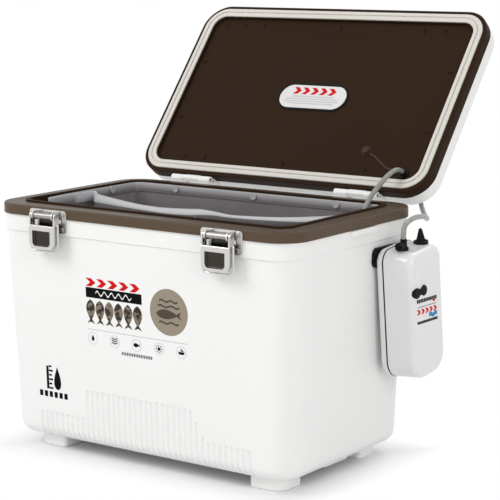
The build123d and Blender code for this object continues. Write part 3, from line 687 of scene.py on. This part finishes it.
MAKERS = {
    "shell": lambda: moulded("white shell plastic", colour("shell"), 0.36, 0.000012, 900.0, 0.012),
    # The feet and pads take the shell's white plastic painted lighter, a painted light against the shade under the
    # box.
    "foot": lambda: moulded("white plastic painted lighter for the feet", (0.95, 0.95, 0.94), 0.4, 0.000012, 900.0, 0.012),
    "brown": rim_with_painted_shade,
    "lid panel": lambda: moulded("brown lid panel plastic", colour("panel"), 0.42, 0.00005, 1000.0, 0.12,
                                 Specular_IOR_Level=0.03),
    "liner": lambda: moulded("brown liner plastic", colour("panel"), 0.5, 0.00004, 900.0, 0.10,
                             Specular_IOR_Level=0.03),
    "seal": lambda: moulded("cream seal rubber", colour("seal"), 0.5, 0.00003, 1500.0, 0.05),
    "pump shell": lambda: moulded("glossy pump plastic", colour("pump"), 0.2, 0.000006, 700.0, 0.01,
                                  Coat_Weight=0.3),
    "black": lambda: moulded("black plastic", (0.006, 0.006, 0.006), 0.4, 0.00003, 1500.0, 0.3,
                             Specular_IOR_Level=0.1),
    "badge": lambda: moulded("badge face", (0.74, 0.735, 0.73), 0.35, 0.00001, 900.0, 0.03,
                             Specular_IOR_Level=0.3),
    "thread": lambda: moulded("sewing thread", (0.30, 0.30, 0.32), 0.8),
    "rubber": lambda: rubbery("black rubber", (0.006, 0.006, 0.006)),
    "brown rubber": lambda: rubbery("brown rubber", (0.045, 0.028, 0.019)),
    "steel": lambda: polished_steel("latch steel"),
    "dark steel": lambda: polished_steel("dull steel", (0.42, 0.41, 0.40), 0.32),
    "lever steel with painted shade": lambda: steel_with_painted_shade("latch lever steel with painted shade", DISH_HALF, DISH_HEIGHTS, DISH_DEPTH),
    "plate steel with painted shade": lambda: steel_with_painted_shade("latch plate steel with painted shade", PLATE_HALF, PLATE_HEIGHTS),
    "stone": lambda: gritty("air stone grit", (0.22, 0.30, 0.38), 0.95, (0.32, 0.40, 0.48),
                            (0.10, 0.15, 0.20), 1600.0, Specular_IOR_Level=0.2),
    "foam": lambda: gritty("poured foam", (0.80, 0.74, 0.55), 0.9, (0.82, 0.76, 0.58),
                           (0.62, 0.55, 0.38), 900.0),
    "camo ink": camo_ink,
    "hose": lambda: worn("grey vinyl hose", colour("hose"), 0.35, 0.07, 0.2, 160.0, 0.8, 1.25,
                         (900.0, 0.00003), Coat_Weight=0.15),
    "cloth": cloth_finish,
    "hem": hem_finish,
}
INKS = {
    "black ink": (0.004, 0.004, 0.004),
    "red ink": (0.62, 0.008, 0.014),
    "blue ink": (0.05, 0.24, 0.50),
    "taupe ink": (0.310, 0.265, 0.205),
    "dark taupe ink": (0.085, 0.068, 0.052),
    "white ink": (0.85, 0.85, 0.85),
    "grey ink": (0.55, 0.55, 0.56),
}


def dress(look, *nodes):
    """Give CAD nodes a finish."""
    for node in nodes:
        paint(NODES[node].data, look)


# ---- settings
class BaitSizes(bpy.types.PropertyGroup):
    """Sizes that a user would change."""

    print_film: FloatProperty(name="Print film", description="Thickness of the printed marks, in millimetres",
                              default=0.12, min=0.02, max=1.0)
    hose: FloatProperty(name="Hose", description="Outside diameter of the air hose", default=6.0 * MM,
                        subtype="DISTANCE", unit="LENGTH")


def tint(name, description, default):
    return FloatVectorProperty(name=name, description=description, subtype="COLOR", default=default)


class BaitColours(bpy.types.PropertyGroup):
    """Colours of the main finishes."""

    shell: tint("Shell", "Colour of the box's and the lid's outside", (0.87, 0.87, 0.86))
    trim: tint("Trim", "Colour of the rim band", (0.086, 0.059, 0.038))
    panel: tint("Panel", "Colour of the lid's inner panel and the liner", (0.030, 0.016, 0.009))
    seal: tint("Seal", "Colour of the lid's soft seal", (0.665, 0.635, 0.590))
    pump: tint("Pump", "Colour of the pump's case", (0.78, 0.78, 0.78))
    hose: tint("Hose", "Colour of the air hose", (0.27, 0.27, 0.245))
    hem: tint("Hem", "Colour of the net's hem tape", (0.62, 0.62, 0.64))
    net: tint("Net", "Colour of the net's cloth", (0.212, 0.192, 0.200))


# ---- operators
class BAIT_OT_stage(bpy.types.Operator):
    """Floor, lamps, world and camera"""

    bl_idname = "bait.stage"
    bl_label = "Stage"

    azimuth = radians(35.858)
    elevation = radians(9.855)
    roll = radians(-0.266)
    distance = 2081.2
    target = (66.5, 0.0, 246.3)
    focal_pixels = 1798.6
    lamps = {
        "key lamp": ((-1.4, -2.0, 2.2), 1.6, 38.0),
        "fill lamp": ((2.4, -1.2, 1.3), 1.6, 16.0),
        "back lamp": ((0.3, 1.8, 2.6), 1.4, 16.0),
    }
    world_level = 0.62
    floor_reach = 12.0
    footprint = (0.18, 0.10)  # half sizes of the floor under the box that isn't whitened, in metres
    whitening = 0.06          # over how much floor beyond it the whitening comes in

    def execute(self, context):
        self.make_camera(context)
        self.make_world(context)
        self.make_lamps()
        self.make_floor()
        context.scene.view_settings.view_transform = "Standard"
        return {"FINISHED"}

    def make_camera(self, context):
        data = bpy.data.cameras.new("camera")
        data.sensor_width = 36.0
        data.lens = self.focal_pixels * data.sensor_width / FRAME_PIXELS
        turn = Matrix.Rotation(self.azimuth, 4, "Z") @ Matrix.Rotation(pi / 2 - self.elevation, 4, "X")
        turn = turn @ Matrix.Rotation(self.roll, 4, "Z")
        back = turn.col[2].to_3d() * self.distance
        camera = new_object("camera", data)
        camera.matrix_world = Matrix.Translation((Vector(self.target) + back) * MM) @ turn
        context.scene.camera = camera

    def make_world(self, context):
        world = bpy.data.worlds.new("studio")
        world.use_nodes = True
        context.scene.world = world
        nodes = Nodes(world.node_tree)
        background = nodes.tree.nodes["Background"].inputs
        nodes.feed(background["Color"], (1.0, 1.0, 1.0))
        nodes.feed(background["Strength"], self.world_level + nodes.seen() * (1.0 - self.world_level))

    def make_lamps(self):
        middle = Vector((0.0, 0.0, 0.2))
        for name, (place, width, power) in self.lamps.items():
            data = bpy.data.lights.new(name, "AREA")
            data.shape = "DISK"
            data.size = width
            data.energy = power
            turn = (middle - Vector(place)).to_track_quat("-Z", "Y").to_matrix().to_4x4()
            new_object(name, data).matrix_world = Matrix.Translation(place) @ turn

    def make_floor(self):
        ends = (-self.floor_reach, self.floor_reach)
        mesh = mesh_from([(x, y, 0.0) for x, y in rectangle(*ends, *ends)], [(0, 1, 2, 3)], "floor")
        floor = new_object("floor", mesh)
        paper = Finish("white paper", (0.86, 0.86, 0.86), 0.9)
        paper.tone(paper.noise(60.0, 2.0), (0.85, 0.85, 0.85), (0.87, 0.87, 0.87))
        across, along, _ = paper.split(paper.place())
        outside = (across.size() - self.footprint[0]).maths("MAXIMUM", along.size() - self.footprint[1])
        glow = paper.seen() * (outside / self.whitening).clamped()
        white = paper.node("ShaderNodeEmission", None, {"Color": (1.0, 1.0, 1.0), "Strength": 1.0})
        plain = Number(paper, paper.shader.outputs[0])
        both = paper.node("ShaderNodeMixShader", None, {0: glow, 1: plain, 2: white})
        paper.feed(paper.tree.nodes["Material Output"].inputs["Surface"], both)
        mesh.materials.append(paper.material)
        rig.stage(floor)


class BAIT_OT_box(bpy.types.Operator):
    """Finishes of the box, its feet and its rim"""

    bl_idname = "bait.box"
    bl_label = "Box"

    def execute(self, context):
        dress("shell", "outer_shell", "strap_lugs")
        dress("foot", "corner_feet", "side_pads")
        dress("brown", "rim_trim")
        dress("liner", "inner_liner")
        dress("foam", "insulation_foam")
        return {"FINISHED"}


class BAIT_OT_lid(bpy.types.Operator):
    """Finishes of the lid, its seal, badge and air port"""

    bl_idname = "bait.lid"
    bl_label = "Lid"

    def execute(self, context):
        dress("shell", "lid_cover")
        dress("lid panel", "lid_liner")
        dress("foam", "lid_foam")
        dress("seal", "lid_gasket")
        dress("black", "badge_frame", "air_port")
        dress("badge", "badge_plate")
        dress("brown rubber", "port_stopper", "stopper_strap")
        return {"FINISHED"}


class BAIT_OT_hardware(bpy.types.Operator):
    """Hinges, latches and their screws"""

    bl_idname = "bait.hardware"
    bl_label = "Hardware"

    def execute(self, context):
        dress("shell", "hinge_box_leaves", "hinge_lid_leaves")
        dress("steel", "latch_bail_left", "latch_bail_right", "latch_keepers", "keeper_rivets")
        dress("lever steel with painted shade", "latch_lever_left", "latch_lever_right")
        dress("plate steel with painted shade", "latch_plates")
        dress("dark steel", "hinge_pins", "hinge_box_screws", "hinge_lid_screws", "latch_screws",
              "latch_pins", "bracket_screws", "pump_cover_screws", "battery_contacts", "pump_motor",
              "pump_crank")
        return {"FINISHED"}


class BAIT_OT_pump(bpy.types.Operator):
    """The air pump, its bracket and fittings"""

    bl_idname = "bait.pump"
    bl_label = "Pump"

    def execute(self, context):
        dress("pump shell", "pump_back_cover", "pump_front_shell")
        dress("black", "pump_bracket", "switch_nut", "switch_body", "hose_barb", "flow_knob", "pump_air_head")
        dress("rubber", "pump_gasket", "vent_plug", "switch_boot", "pump_diaphragm")
        dress("dark steel", "battery_cells")
        return {"FINISHED"}


class BAIT_OT_hoses(bpy.types.Operator):
    """The air hose, from the pump to the lid's port and from the port to the air stone"""

    bl_idname = "bait.hoses"
    bl_label = "Hoses"

    outer = ((0.2410, 0.0528, 0.2686), (0.2410, 0.0513, 0.2823), (0.2383, 0.0720, 0.2876),
             (0.2332, 0.0980, 0.2875), (0.2245, 0.1320, 0.2820), (0.2060, 0.1650, 0.2725),
             (0.1820, 0.1945, 0.2782), (0.1750, 0.1992, 0.2953), (0.1750, 0.18615, 0.30585))
    inner = ((0.1750, 0.1583, 0.3284), (0.1750, 0.1500, 0.3330), (0.1715, 0.1350, 0.3285),
             (0.1680, 0.1150, 0.3145), (0.1650, 0.0950, 0.2980), (0.1620, 0.0865, 0.2710),
             (0.1560, 0.0850, 0.2360), (0.1420, 0.0875, 0.1950), (0.1610, 0.0695, 0.1480),
             (0.1480, 0.0650, 0.1040), (0.1470, 0.0700, 0.0760))

    def execute(self, context):
        outer, line = self.tube(context, "air_hose_outside", self.outer)
        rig.blend(outer, "box", "lid", start=self.outer[2], end=self.outer[6])
        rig.cord(outer, exit=self.outer[0], length=0.2043, diameter=context.scene.bait_sizes.hose,
                far_end="object", path=line)
        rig.replaces(outer, "hose_outer")
        inner, line = self.tube(context, "air_hose_inside", self.inner)
        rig.blend(inner, "box", "lid", start=self.inner[5], end=self.inner[2])
        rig.cord(inner, exit=self.inner[0], length=0.3103, diameter=context.scene.bait_sizes.hose,
                far_end="fitting", path=line, with_pieces=[NODES["air_stone"]])
        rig.replaces(inner, "hose_inner")
        dress("stone", "air_stone")
        return {"FINISHED"}

    def tube(self, context, name, route):
        """The hose along a route's control points, and its middle line."""
        curve, spline = new_curve(route, name, "NURBS")
        spline.order_u = 3
        spline.use_endpoint_u = True
        curve.resolution_u = 16
        holder = new_object(name + " line", curve)
        line = [tuple(vertex.co) for vertex in plain_mesh(holder, name + " line").vertices]
        curve.bevel_depth = context.scene.bait_sizes.hose / 2
        curve.bevel_resolution = 5
        curve.use_fill_caps = True
        mesh = plain_mesh(holder, name)
        bpy.data.objects.remove(holder)
        mesh.shade_smooth()
        piece = new_object(name, mesh)
        paint(mesh, "hose")
        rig.slot(piece, "grey_hose")
        return piece, line


class BAIT_OT_net(bpy.types.Operator):
    """The net bag in the well, its slack front edge, hem tape and stitches"""

    bl_idname = "bait.net"
    bl_label = "Net"

    # The hem's top edge from the left wall, across the mouth, to the right wall, with its lean in degrees.
    free_edge = ((-183.0, -50.0, 296.0, 0), (-182.0, -68.0, 295.9, 0), (-178.5, -72.5, 295.8, 0),
                 (-176.0, -66.0, 295.7, 0), (-176.5, -30.0, 295.7, 0), (-176.5, -10.0, 295.7, 0),
                 (-177.5, 2.0, 295.6, 4), (-174.5, 7.0, 295.6, 12), (-168.0, 3.0, 295.6, 22),
                 (-157.8, -9.1, 295.5, 38),
                 (-137.5, -17.2, 295.0, 50), (-101.1, -31.1, 294.5, 62), (-64.6, -43.7, 294.0, 72),
                 (-32.4, -47.5, 293.5, 73), (-18.5, -42.6, 293.0, 67), (7.0, -33.8, 293.0, 62),
                 (15.1, -28.4, 293.0, 64), (33.0, -33.0, 293.2, 74), (52.2, -40.5, 293.5, 83),
                 (76.7, -52.2, 294.0, 88), (104.4, -48.9, 294.5, 85), (130.1, -43.3, 295.0, 82),
                 (151.4, -31.8, 295.5, 75), (169.2, -14.9, 295.8, 66), (179.7, 1.9, 295.9, 40),
                 (184.0, 20.0, 296.0, 10))
    wall_start, wall_end = -40.0, 30.0  # where the free edge meets the left and the right wall, along y
    tape_start, fold_end = -30.0, -160.0  # where the pale tape leaves the left wall's fold, along y and x
    on_wall = 6.0          # how near the well's wall the tape counts as lying on it
    below_hem_box = 1.5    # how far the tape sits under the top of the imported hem
    floor = 45.0
    round_bottom = 12.0
    floor_reach = 84.0     # how far in from its rounded foot the bag's bottom is drawn
    edge_gap, foot_gap = 3.6, 3.2  # from the well's wall to the hem and to the foot of the bag
    cloth_thickness = 0.0007  # in metres
    tape_half = 0.95       # half the thickness of the hem tape
    stitch = (0.0034, 0.0024, 0.00022)  # pitch, length and radius, in metres
    back_count, front_count = 300, 260  # points along the wall and along the free edge
    hem_rows, wall_rows, bend_rows, floor_rows = 3, 44, 4, 16
    ring_count = 1440

    def execute(self, context):
        self.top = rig.box("net_hem")[1].z / MM - self.below_hem_box
        stations = self.stations()
        frames = self.hem_frames(stations)
        bag = self.bag(stations)
        hem = self.hem(stations, frames)
        stitches = self.stitches(frames)
        tab = self.tab(frames)
        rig.replaces(bag, "bait_net")
        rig.replaces(hem, "net_hem")
        area = sum(face.area for face in bag.data.polygons) / 2
        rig.sheet(bag, flat=(0.87, 0.71), held="hung", rests_on=["inner_liner"], area=round(area, 3),
                 with_pieces=[hem, stitches, tab])
        dress("hem", "net_studs")
        return {"FINISHED"}

    @staticmethod
    def half_sizes(z, gap):
        """Half sizes and corner radius of the well at one height, less a gap."""
        inward = (RIM_TOP - z) * tan(WELL_DRAFT) + gap
        return WELL[0] - inward, WELL[1] - inward, max(WELL[2] - gap, 4.0)

    def lay_out(self, mesh, stations, places, station_of):
        """Store each point's place on the flat cloth, and 0 on a wall to 1 along the slack edge."""
        layer = mesh.uv_layers.new(name="cloth")
        for loop in mesh.loops:
            layer.data[loop.index].uv = places[loop.vertex_index]
        values = []
        for (x, y, _), _, _ in stations:
            off_wall = (min(WELL[0] - abs(x), WELL[1] - abs(y)) - self.on_wall) / 4.0
            past_fold = (y - self.tape_start) / 6.0 if x < self.fold_end else 1.0
            values.append(min(1.0, max(0.0, min(off_wall, past_fold))))
        layer = mesh.attributes.new("slack", "FLOAT", "POINT")
        for index, item in enumerate(layer.data):
            item.value = values[station_of(index)]

    def ring(self, z, gap):
        """Points round the well at one height, from the right wall by way of the back."""
        hx, hy, r = self.half_sizes(z, gap)
        outline = []
        for quarter, (sx, sy) in enumerate(((1, 1), (-1, 1), (-1, -1), (1, -1))):
            for turn in range(0, 91, 6):
                angle = radians(90 * quarter + turn)
                outline.append((sx * (hx - r) + r * cos(angle), sy * (hy - r) + r * sin(angle)))
        return outline

    @staticmethod
    def spaced(points, count, closed=False):
        """Points evenly spaced along a line of points of any dimension."""
        line = list(points) + ([points[0]] if closed else [])
        steps = [dist(p[:3], q[:3]) for p, q in zip(line, line[1:])]
        total, result, index, passed = sum(steps), [], 0, 0.0
        for k in range(count):
            wanted = total * k / (count if closed else count - 1)
            while index < len(steps) - 1 and passed + steps[index] < wanted:
                passed += steps[index]
                index += 1
            share = min(1.0, (wanted - passed) / max(steps[index], 1e-9))
            result.append([a + (b - a) * share for a, b in zip(line[index], line[index + 1])])
        return result

    def wall_part(self, z, gap, front, count):
        """The ring's stretch along the back, or along the front, of the well."""
        ring = self.spaced(self.ring(z, gap), self.ring_count, closed=True)
        start, turn = (min(range(self.ring_count), key=lambda i: dist(ring[i], corner))
                       for corner in ((WELL[0], self.wall_end), (-WELL[0], self.wall_start)))
        turn = (turn - start) % self.ring_count
        ring = ring[start:] + ring[:start]
        return self.spaced(ring[turn:] + ring[:1] if front else ring[:turn + 1], count)

    def smooth_edge(self, count):
        """The free edge as a rounded line."""
        hx = self.half_sizes(self.top, self.edge_gap)[0]
        line = [(-hx, self.wall_start, self.top, 0), *self.free_edge, (hx, self.wall_end, self.top, 0)]
        for _ in range(3):
            rounded = [line[0]]
            for a, b in zip(line, line[1:]):
                rounded += [[p + (q - p) * share for p, q in zip(a, b)] for share in (0.25, 0.75)]
            line = rounded + [line[-1]]
        return self.spaced(line, count)

    def stations(self):
        """(top, hem bottom, foot) at each place round the bag."""
        hem_foot, foot_height = self.top - HEM_DEPTH, self.floor + self.round_bottom
        heights = ((self.top, self.edge_gap), (hem_foot, self.edge_gap), (foot_height, self.foot_gap))
        walls = [self.wall_part(z, gap, False, self.back_count) for z, gap in heights]
        result = [((*u, self.top), (*v, hem_foot), (*w, foot_height)) for u, v, w in zip(*walls)]
        edge = self.smooth_edge(self.front_count + 2)[1:-1]
        foot = self.wall_part(foot_height, self.foot_gap, True, self.front_count + 2)[1:-1]
        for (x, y, z, lean), w in zip(edge, foot):
            forward, down = HEM_DEPTH * sin(radians(lean)), HEM_DEPTH * cos(radians(lean))
            result.append(((x, y, z), (x + 0.3 * forward, y - 0.95 * forward, z - down), (*w, foot_height)))
        return result

    def fold(self, place, depth):
        """How far the cloth stands in from its wall, in millimetres."""
        x, y, z = place
        broad = field.noise(Vector((x * 0.012, y * 0.012, z * 0.006)))
        narrow = field.noise(Vector((x * 0.05, y * 0.05, z * 0.012 + 7.0)))
        gathered = 2.6 * max(0.0, broad + 0.25) + 1.1 * max(0.0, narrow)
        pleat = 5.0 * max(0.0, 1.0 - hypot(x + 181.0, y - 90.0) / 5.0)
        slant = abs((z - 286.0) + (x + 127.0) * 0.24) / 2.6
        crease = 1.6 * max(0.0, 1.0 - slant) if -130 < x < -84 and y > 60 else 0.0
        return (gathered + pleat + crease) * min(1.0, depth / 14.0)

    def bag(self, stations):
        """The cloth, from inside the hem down the walls and in across the floor."""
        points, places, lengths = [], [], [0.0]
        for a, b in zip(stations, stations[1:]):
            lengths.append(lengths[-1] + (Vector(a[1]) - Vector(b[1])).length)
        for row in range(self.wall_rows + 1):
            below = row - self.hem_rows
            for station, length in zip(stations, lengths):
                top, hem, foot = map(Vector, station)
                if below < 0:
                    place = top.lerp(hem, (row + 0.6) / (self.hem_rows + 0.6))
                else:
                    place = hem.lerp(foot, (below / (self.wall_rows - self.hem_rows)) ** 1.15)
                    inward = Vector((-place.x / WELL[0], -place.y / WELL[1], 0.0))
                    inward = Vector((inward.x ** 7, inward.y ** 7, 0.0))
                    if inward.length > 1e-6:
                        place += inward.normalized() * self.fold(place, below * 5.0)
                points.append(place * MM)
                places.append((length * MM, (self.top - place.z) * MM))
        for row in range(1, self.floor_rows + 1):
            turn = radians(min(1.0, row / self.bend_rows) * 90)
            past_bend = max(0.0, (row - self.bend_rows) / (self.floor_rows - self.bend_rows))
            shrink = self.round_bottom * (1 - cos(turn)) + past_bend * self.floor_reach
            drop = self.round_bottom * sin(turn)
            for (_, _, foot), length in zip(stations, lengths):
                x, y, z = Vector(foot)
                hx, hy, _ = self.half_sizes(z, self.foot_gap)
                place = Vector((x * (hx - shrink) / hx, y * (hy - shrink) / hy, z - drop))
                if row > self.bend_rows:
                    place.z += 2.0 * max(0.0, field.noise(Vector((place.x * 0.03, place.y * 0.03, 3.0))))
                points.append(place * MM)
                places.append((length * MM, (self.top - self.floor + shrink) * MM))
        count = len(stations)
        faces = tube_faces(self.wall_rows + 1 + self.floor_rows, count)
        faces.append(tuple(range(len(points) - count, len(points))))
        mesh = mesh_from(points, faces, "net_bag", smooth=True)
        self.lay_out(mesh, stations, places, lambda index: index % count)
        return new_piece("net_bag", thickened(mesh, self.cloth_thickness), "cloth", "box", "grey_cloth")

    @staticmethod
    def hem_frames(stations):
        """Each station's top, bottom and inward direction."""
        tops, lows = ([Vector(station[corner]) for station in stations] for corner in (0, 1))
        return [(top, low, (after - before).normalized().cross(low - top).normalized() * -1.0)
                for top, low, before, after in zip(tops, lows, tops[-1:] + tops, tops[1:] + tops[:1])]

    def hem(self, stations, frames):
        """The tape round the bag's edge, a flat strip with rounded edges."""
        side = ((0.0, 0.5), (0.03, 1.0), (0.5, 1.05), (0.97, 1.0), (1.0, 0.5))
        section = side + tuple((share, -out) for share, out in reversed(side))
        points, places = [], []
        travelled = 0.0
        for k, (top, low, inward) in enumerate(frames):
            travelled += (top - frames[k - 1][0]).length if k else 0.0
            for share, out in section:
                points.append((top.lerp(low, share) + inward * (out * self.tape_half)) * MM)
                places.append((travelled * MM, share * HEM_DEPTH * MM))
        faces = tube_faces(len(frames), len(section), closed=True)
        mesh = mesh_from(points, faces, "net_hem_tape", smooth=True, closed=True)
        self.lay_out(mesh, stations, places, lambda index: index // len(section))
        return new_piece("net_hem_tape", mesh, "hem", "box", "grey_cloth")

    def stitches(self, frames):
        """Rows of stitches, two inside the tape and one outside."""
        built = bmesh.new()
        for index, (share, side) in enumerate(((0.12, 1.0), (0.86, 1.0), (0.86, -1.0))):
            line = [(top.lerp(low, share) + inward * side) * MM for top, low, inward in frames]
            built.from_mesh(bar_row(line, *self.stitch, finish("thread"), f"row {index}"))
        mesh = bpy.data.meshes.new("net_hem_stitches")
        built.to_mesh(mesh)
        built.free()
        mesh.shade_smooth()
        return new_piece("net_hem_stitches", mesh, "thread", "box", "grey_cloth")

    def tab(self, frames):
        """A short loop of tape sewn to the middle of the free edge."""
        frames = [frame for frame in frames if abs(frame[0].x) < 16.0 and frame[0].y < 0.0]
        start, end, near, far = 0.5, 1.28, 1.3, 1.8
        points = []
        for top, low, inward in frames:
            down = (low - top).normalized()
            for share, out in ((start, near), (start, far), (end, far), (end, near)):
                points.append((top + down * HEM_DEPTH * share - inward * out) * MM)
        last = len(points) - 4
        faces = tube_faces(len(frames), 4) + [(0, 1, 2, 3), (last + 3, last + 2, last + 1, last)]
        mesh = mesh_from(points, faces, "net_tab", closed=True)
        return new_piece("net_tab", mesh, "hem", "box", "grey_cloth")


class BAIT_OT_prints(bpy.types.Operator):
    """Marks printed on the box's front and on the pump"""

    bl_idname = "bait.prints"
    bl_label = "Prints"

    rings = (-67.5, -35.0, -2.6, 29.8, 61.7)
    ring_height = 147.7
    disc = (45.5, 191.7, 26.8)  # middle and radius
    pump_slope = 0.115  # how far the pump's marks fall for each millimetre towards its back

    def execute(self, context):
        self.film = context.scene.bait_sizes.print_film
        self.mark("print_red", "red ink", chevrons(-75.4, 6.0, 209.0, 218.6))
        self.mark("print_bar", "black ink", [rectangle(-75.6, 7.0, 195.8, 207.7)])
        self.mark("print_bar_waves", "white ink", [self.wave(-61.0, -8.0, 201.7, 1.7, 2.6, 5)], layer=1)
        self.mark("print_minnows", "camo ink", self.minnows())
        self.mark("print_disc", "taupe ink", [disc(*self.disc)])
        self.mark("print_disc_marks", "dark taupe ink", self.disc_marks(), layer=1)
        self.mark("print_rule", "grey ink", [rectangle(-74.5, 71.2, 157.9, 158.7)])
        self.mark("print_rings", "grey ink", self.ring_outlines())
        self.mark("print_glyphs", "black ink", self.glyphs(), layer=1)
        self.mark("print_gauge", "black ink", self.gauge())
        self.mark("print_small_row", "black ink", bars(-25.0, 19.3, 133.6, 137.2, 18, 0.55))
        self.on_pump()
        self.on_badge()
        return {"FINISHED"}

    def mark(self, name, ink, outlines, place=front_point, body="box", layer=0):
        """Ink on a surface, or on the marks below it where layer is 1."""
        low = 0.01 + layer * self.film
        new_piece(name, slab(outlines, place, low, low + self.film, name), ink, body, "white_plastic")

    def on_pump(self):
        turn = turned_about(PUMP_MIDDLE, PUMP_TILT)

        def place(y, z, lift):
            return turn @ (Vector((PUMP_FRONT + lift, y, z - self.pump_slope * (y - 50.0))) * MM)

        black = bars(50.5, 93.5, 199.9, 204.1, 12, 0.8) + [rectangle(51.5, 92.5, 194.7, 195.3)]
        black += bars(50.0, 94.0, 175.4, 178.5, 16, 0.85)
        red = chevrons(49.5, 94.0, 186.4, 192.4) + [disc(87.5, 198.8, 3.4, 1.2)]
        self.mark("print_pump_black", "black ink", black, place)
        self.mark("print_pump_red", "red ink", red, place)
        self.mark("print_pump_blue", "blue ink", [self.wave(75.5, 93.0, 182.9, 4.8, 1.0, 1.5)], place)

    def on_badge(self):
        turn = turned_about(HINGE, -LID_OPEN)
        x0, y0, z0 = BADGE

        def place(x, y, lift):
            return turn @ (Vector((x0 + x, y0 + y, z0 - lift)) * MM)

        rows = [bar for y, half in ((0.0, 31.0), (3.5, 39.0), (6.9, 40.0), (10.3, 34.0))
                for bar in bars(-half, half, y - 0.9, y + 0.9, 28, 0.7)]
        self.mark("print_badge_red", "red ink", chevrons(-32.0, 33.5, -13.6, -3.4), place, "lid")
        self.mark("print_badge_rows", "grey ink", rows, place, "lid")

    @staticmethod
    def wave(x0, x1, middle, width, height, periods, steps=60):
        """A band that waves along x."""
        def line(offset):
            return [(x0 + (x1 - x0) * k / steps, middle + offset + height * sin(2 * pi * periods * k / steps))
                    for k in range(steps + 1)]
        return line(-width / 2) + line(width / 2)[::-1]

    @staticmethod
    def fish(x, z, length, girth, upright=False):
        """A plain minnow: a pointed body and a forked tail."""
        steps = 12
        upper = [(-0.5 + 0.8 * t, 0.5 * sin(pi * t ** 0.8) ** 0.85 + 0.11 * t)
                 for t in (k / steps for k in range(steps))] + [(0.3, 0.11)]
        lower = [(px, -py) for px, py in reversed(upper)]
        outline = upper + [(0.5, 0.48), (0.42, 0.0), (0.5, -0.48)] + lower[:-1]
        if upright:
            return [(x + py * girth, z - px * length) for px, py in outline]
        return [(x + px * length, z + py * girth) for px, py in outline]

    @staticmethod
    def drop(x, z, width, height, waist, sides):
        """A drop of water."""
        return [(x + width * sin(t) * sin(t / 2) ** waist, z + height * cos(t))
                for t in (2 * pi * k / sides for k in range(sides))]

    def minnows(self):
        return [self.fish(-69.3 + 13.9 * k, 179.2, 28.6, 12.0, upright=True) for k in range(6)]

    def disc_marks(self):
        x, z, _ = self.disc
        lines = [self.wave(x - half, x + half, z + rise, 2.1, 1.0, 2)
                 for half, rise in ((13.0, 12.6), (15.5, 6.4), (14.0, -12.4))]
        return lines + [self.fish(x, z - 2.6, 36.0, 10.0)]

    def ring_outlines(self):
        """Thin rings, each as two half bands."""
        result = []
        for x in self.rings:
            outer, inner = (disc(x, self.ring_height, radius, sides=40) for radius in (7.2, 6.7))
            for first in (0, 20):
                half = [(first + k) % 40 for k in range(21)]
                result.append([outer[k] for k in half] + [inner[k] for k in reversed(half)])
        return result

    def glyphs(self):
        """A drop, waves, a fish, a sun and a boat, one in each ring."""
        z = self.ring_height
        a, b, c, d, e = self.rings
        waves = [self.wave(b - 4.2, b + 4.2, z + rise, 1.2, 0.7, 1.5, 24) for rise in (-2.0, 0.6, 3.2)]
        beam = ((-0.16, 3.0), (-0.10, 4.8), (0.10, 4.8), (0.16, 3.0))
        beams = [[(d + cos(t + turn) * reach, z + sin(t + turn) * reach) for turn, reach in beam]
                 for t in (pi * k / 4 for k in range(8))]
        hull = [(e - 4.8, z + 0.6), (e - 3.2, z - 2.4), (e + 3.2, z - 2.4), (e + 4.8, z + 0.6)]
        sail = [(e - 0.6, z + 1.2), (e + 3.4, z + 1.2), (e - 0.6, z + 4.6)]
        return [self.drop(a, z + 0.6, 2.6, 3.6, 1.2, 28), *waves, self.fish(c, z, 9.4, 4.4),
                disc(d, z, 2.0, sides=20), *beams, hull, sail]

    def gauge(self):
        """A level gauge: a rule with ticks, a drop, and a row of bars below."""
        rule = rectangle(-142.8, -139.2, 77.0, 105.0)
        ticks = [rectangle(-138.8, -134.6 if k % 2 else -132.8, 77.2 + 5.3 * k, 79.4 + 5.3 * k)
                 for k in range(6)]
        drop = self.drop(-125.8, 91.2, 7.4, 14.0, 1.3, 36)
        return [rule, *ticks, drop, *bars(-154.6, -111.1, 67.2, 74.2, 6, 0.65)]


OPERATORS = (BAIT_OT_stage, BAIT_OT_hoses, BAIT_OT_box, BAIT_OT_prints, BAIT_OT_lid, BAIT_OT_hardware,
             BAIT_OT_pump, BAIT_OT_net)


class BAIT_PT_panel(bpy.types.Panel):
    """Lists the pieces and their settings"""

    bl_label = "Bait cooler"
    bl_idname = "BAIT_PT_panel"
    bl_space_type = "VIEW_3D"
    bl_region_type = "UI"
    bl_category = "Bait cooler"

    def draw(self, context):
        for group in (context.scene.bait_sizes, context.scene.bait_colours):
            for name in group.bl_rna.properties.keys():
                if name not in ("rna_type", "name"):
                    self.layout.prop(group, name)
        for operator in OPERATORS:
            self.layout.operator(operator.bl_idname)


CLASSES = (BaitSizes, BaitColours, *OPERATORS, BAIT_PT_panel)


def register():
    for cls in CLASSES:
        bpy.utils.register_class(cls)
    bpy.types.Scene.bait_sizes = PointerProperty(type=BaitSizes)
    bpy.types.Scene.bait_colours = PointerProperty(type=BaitColours)


def unregister():
    del bpy.types.Scene.bait_colours
    del bpy.types.Scene.bait_sizes
    for cls in reversed(CLASSES):
        bpy.utils.unregister_class(cls)


def main():
    register()
    for operator in OPERATORS:
        group, name = operator.bl_idname.split(".")
        getattr(getattr(bpy.ops, group), name)()
    bpy.context.view_layer.update()
    visual = [list(corner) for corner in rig.bounds()]
    with open("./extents.json", "w") as report:
        json.dump({"cad": CAD_BOUNDS, "visual": visual}, report)


if __name__ == "__main__":
    main()
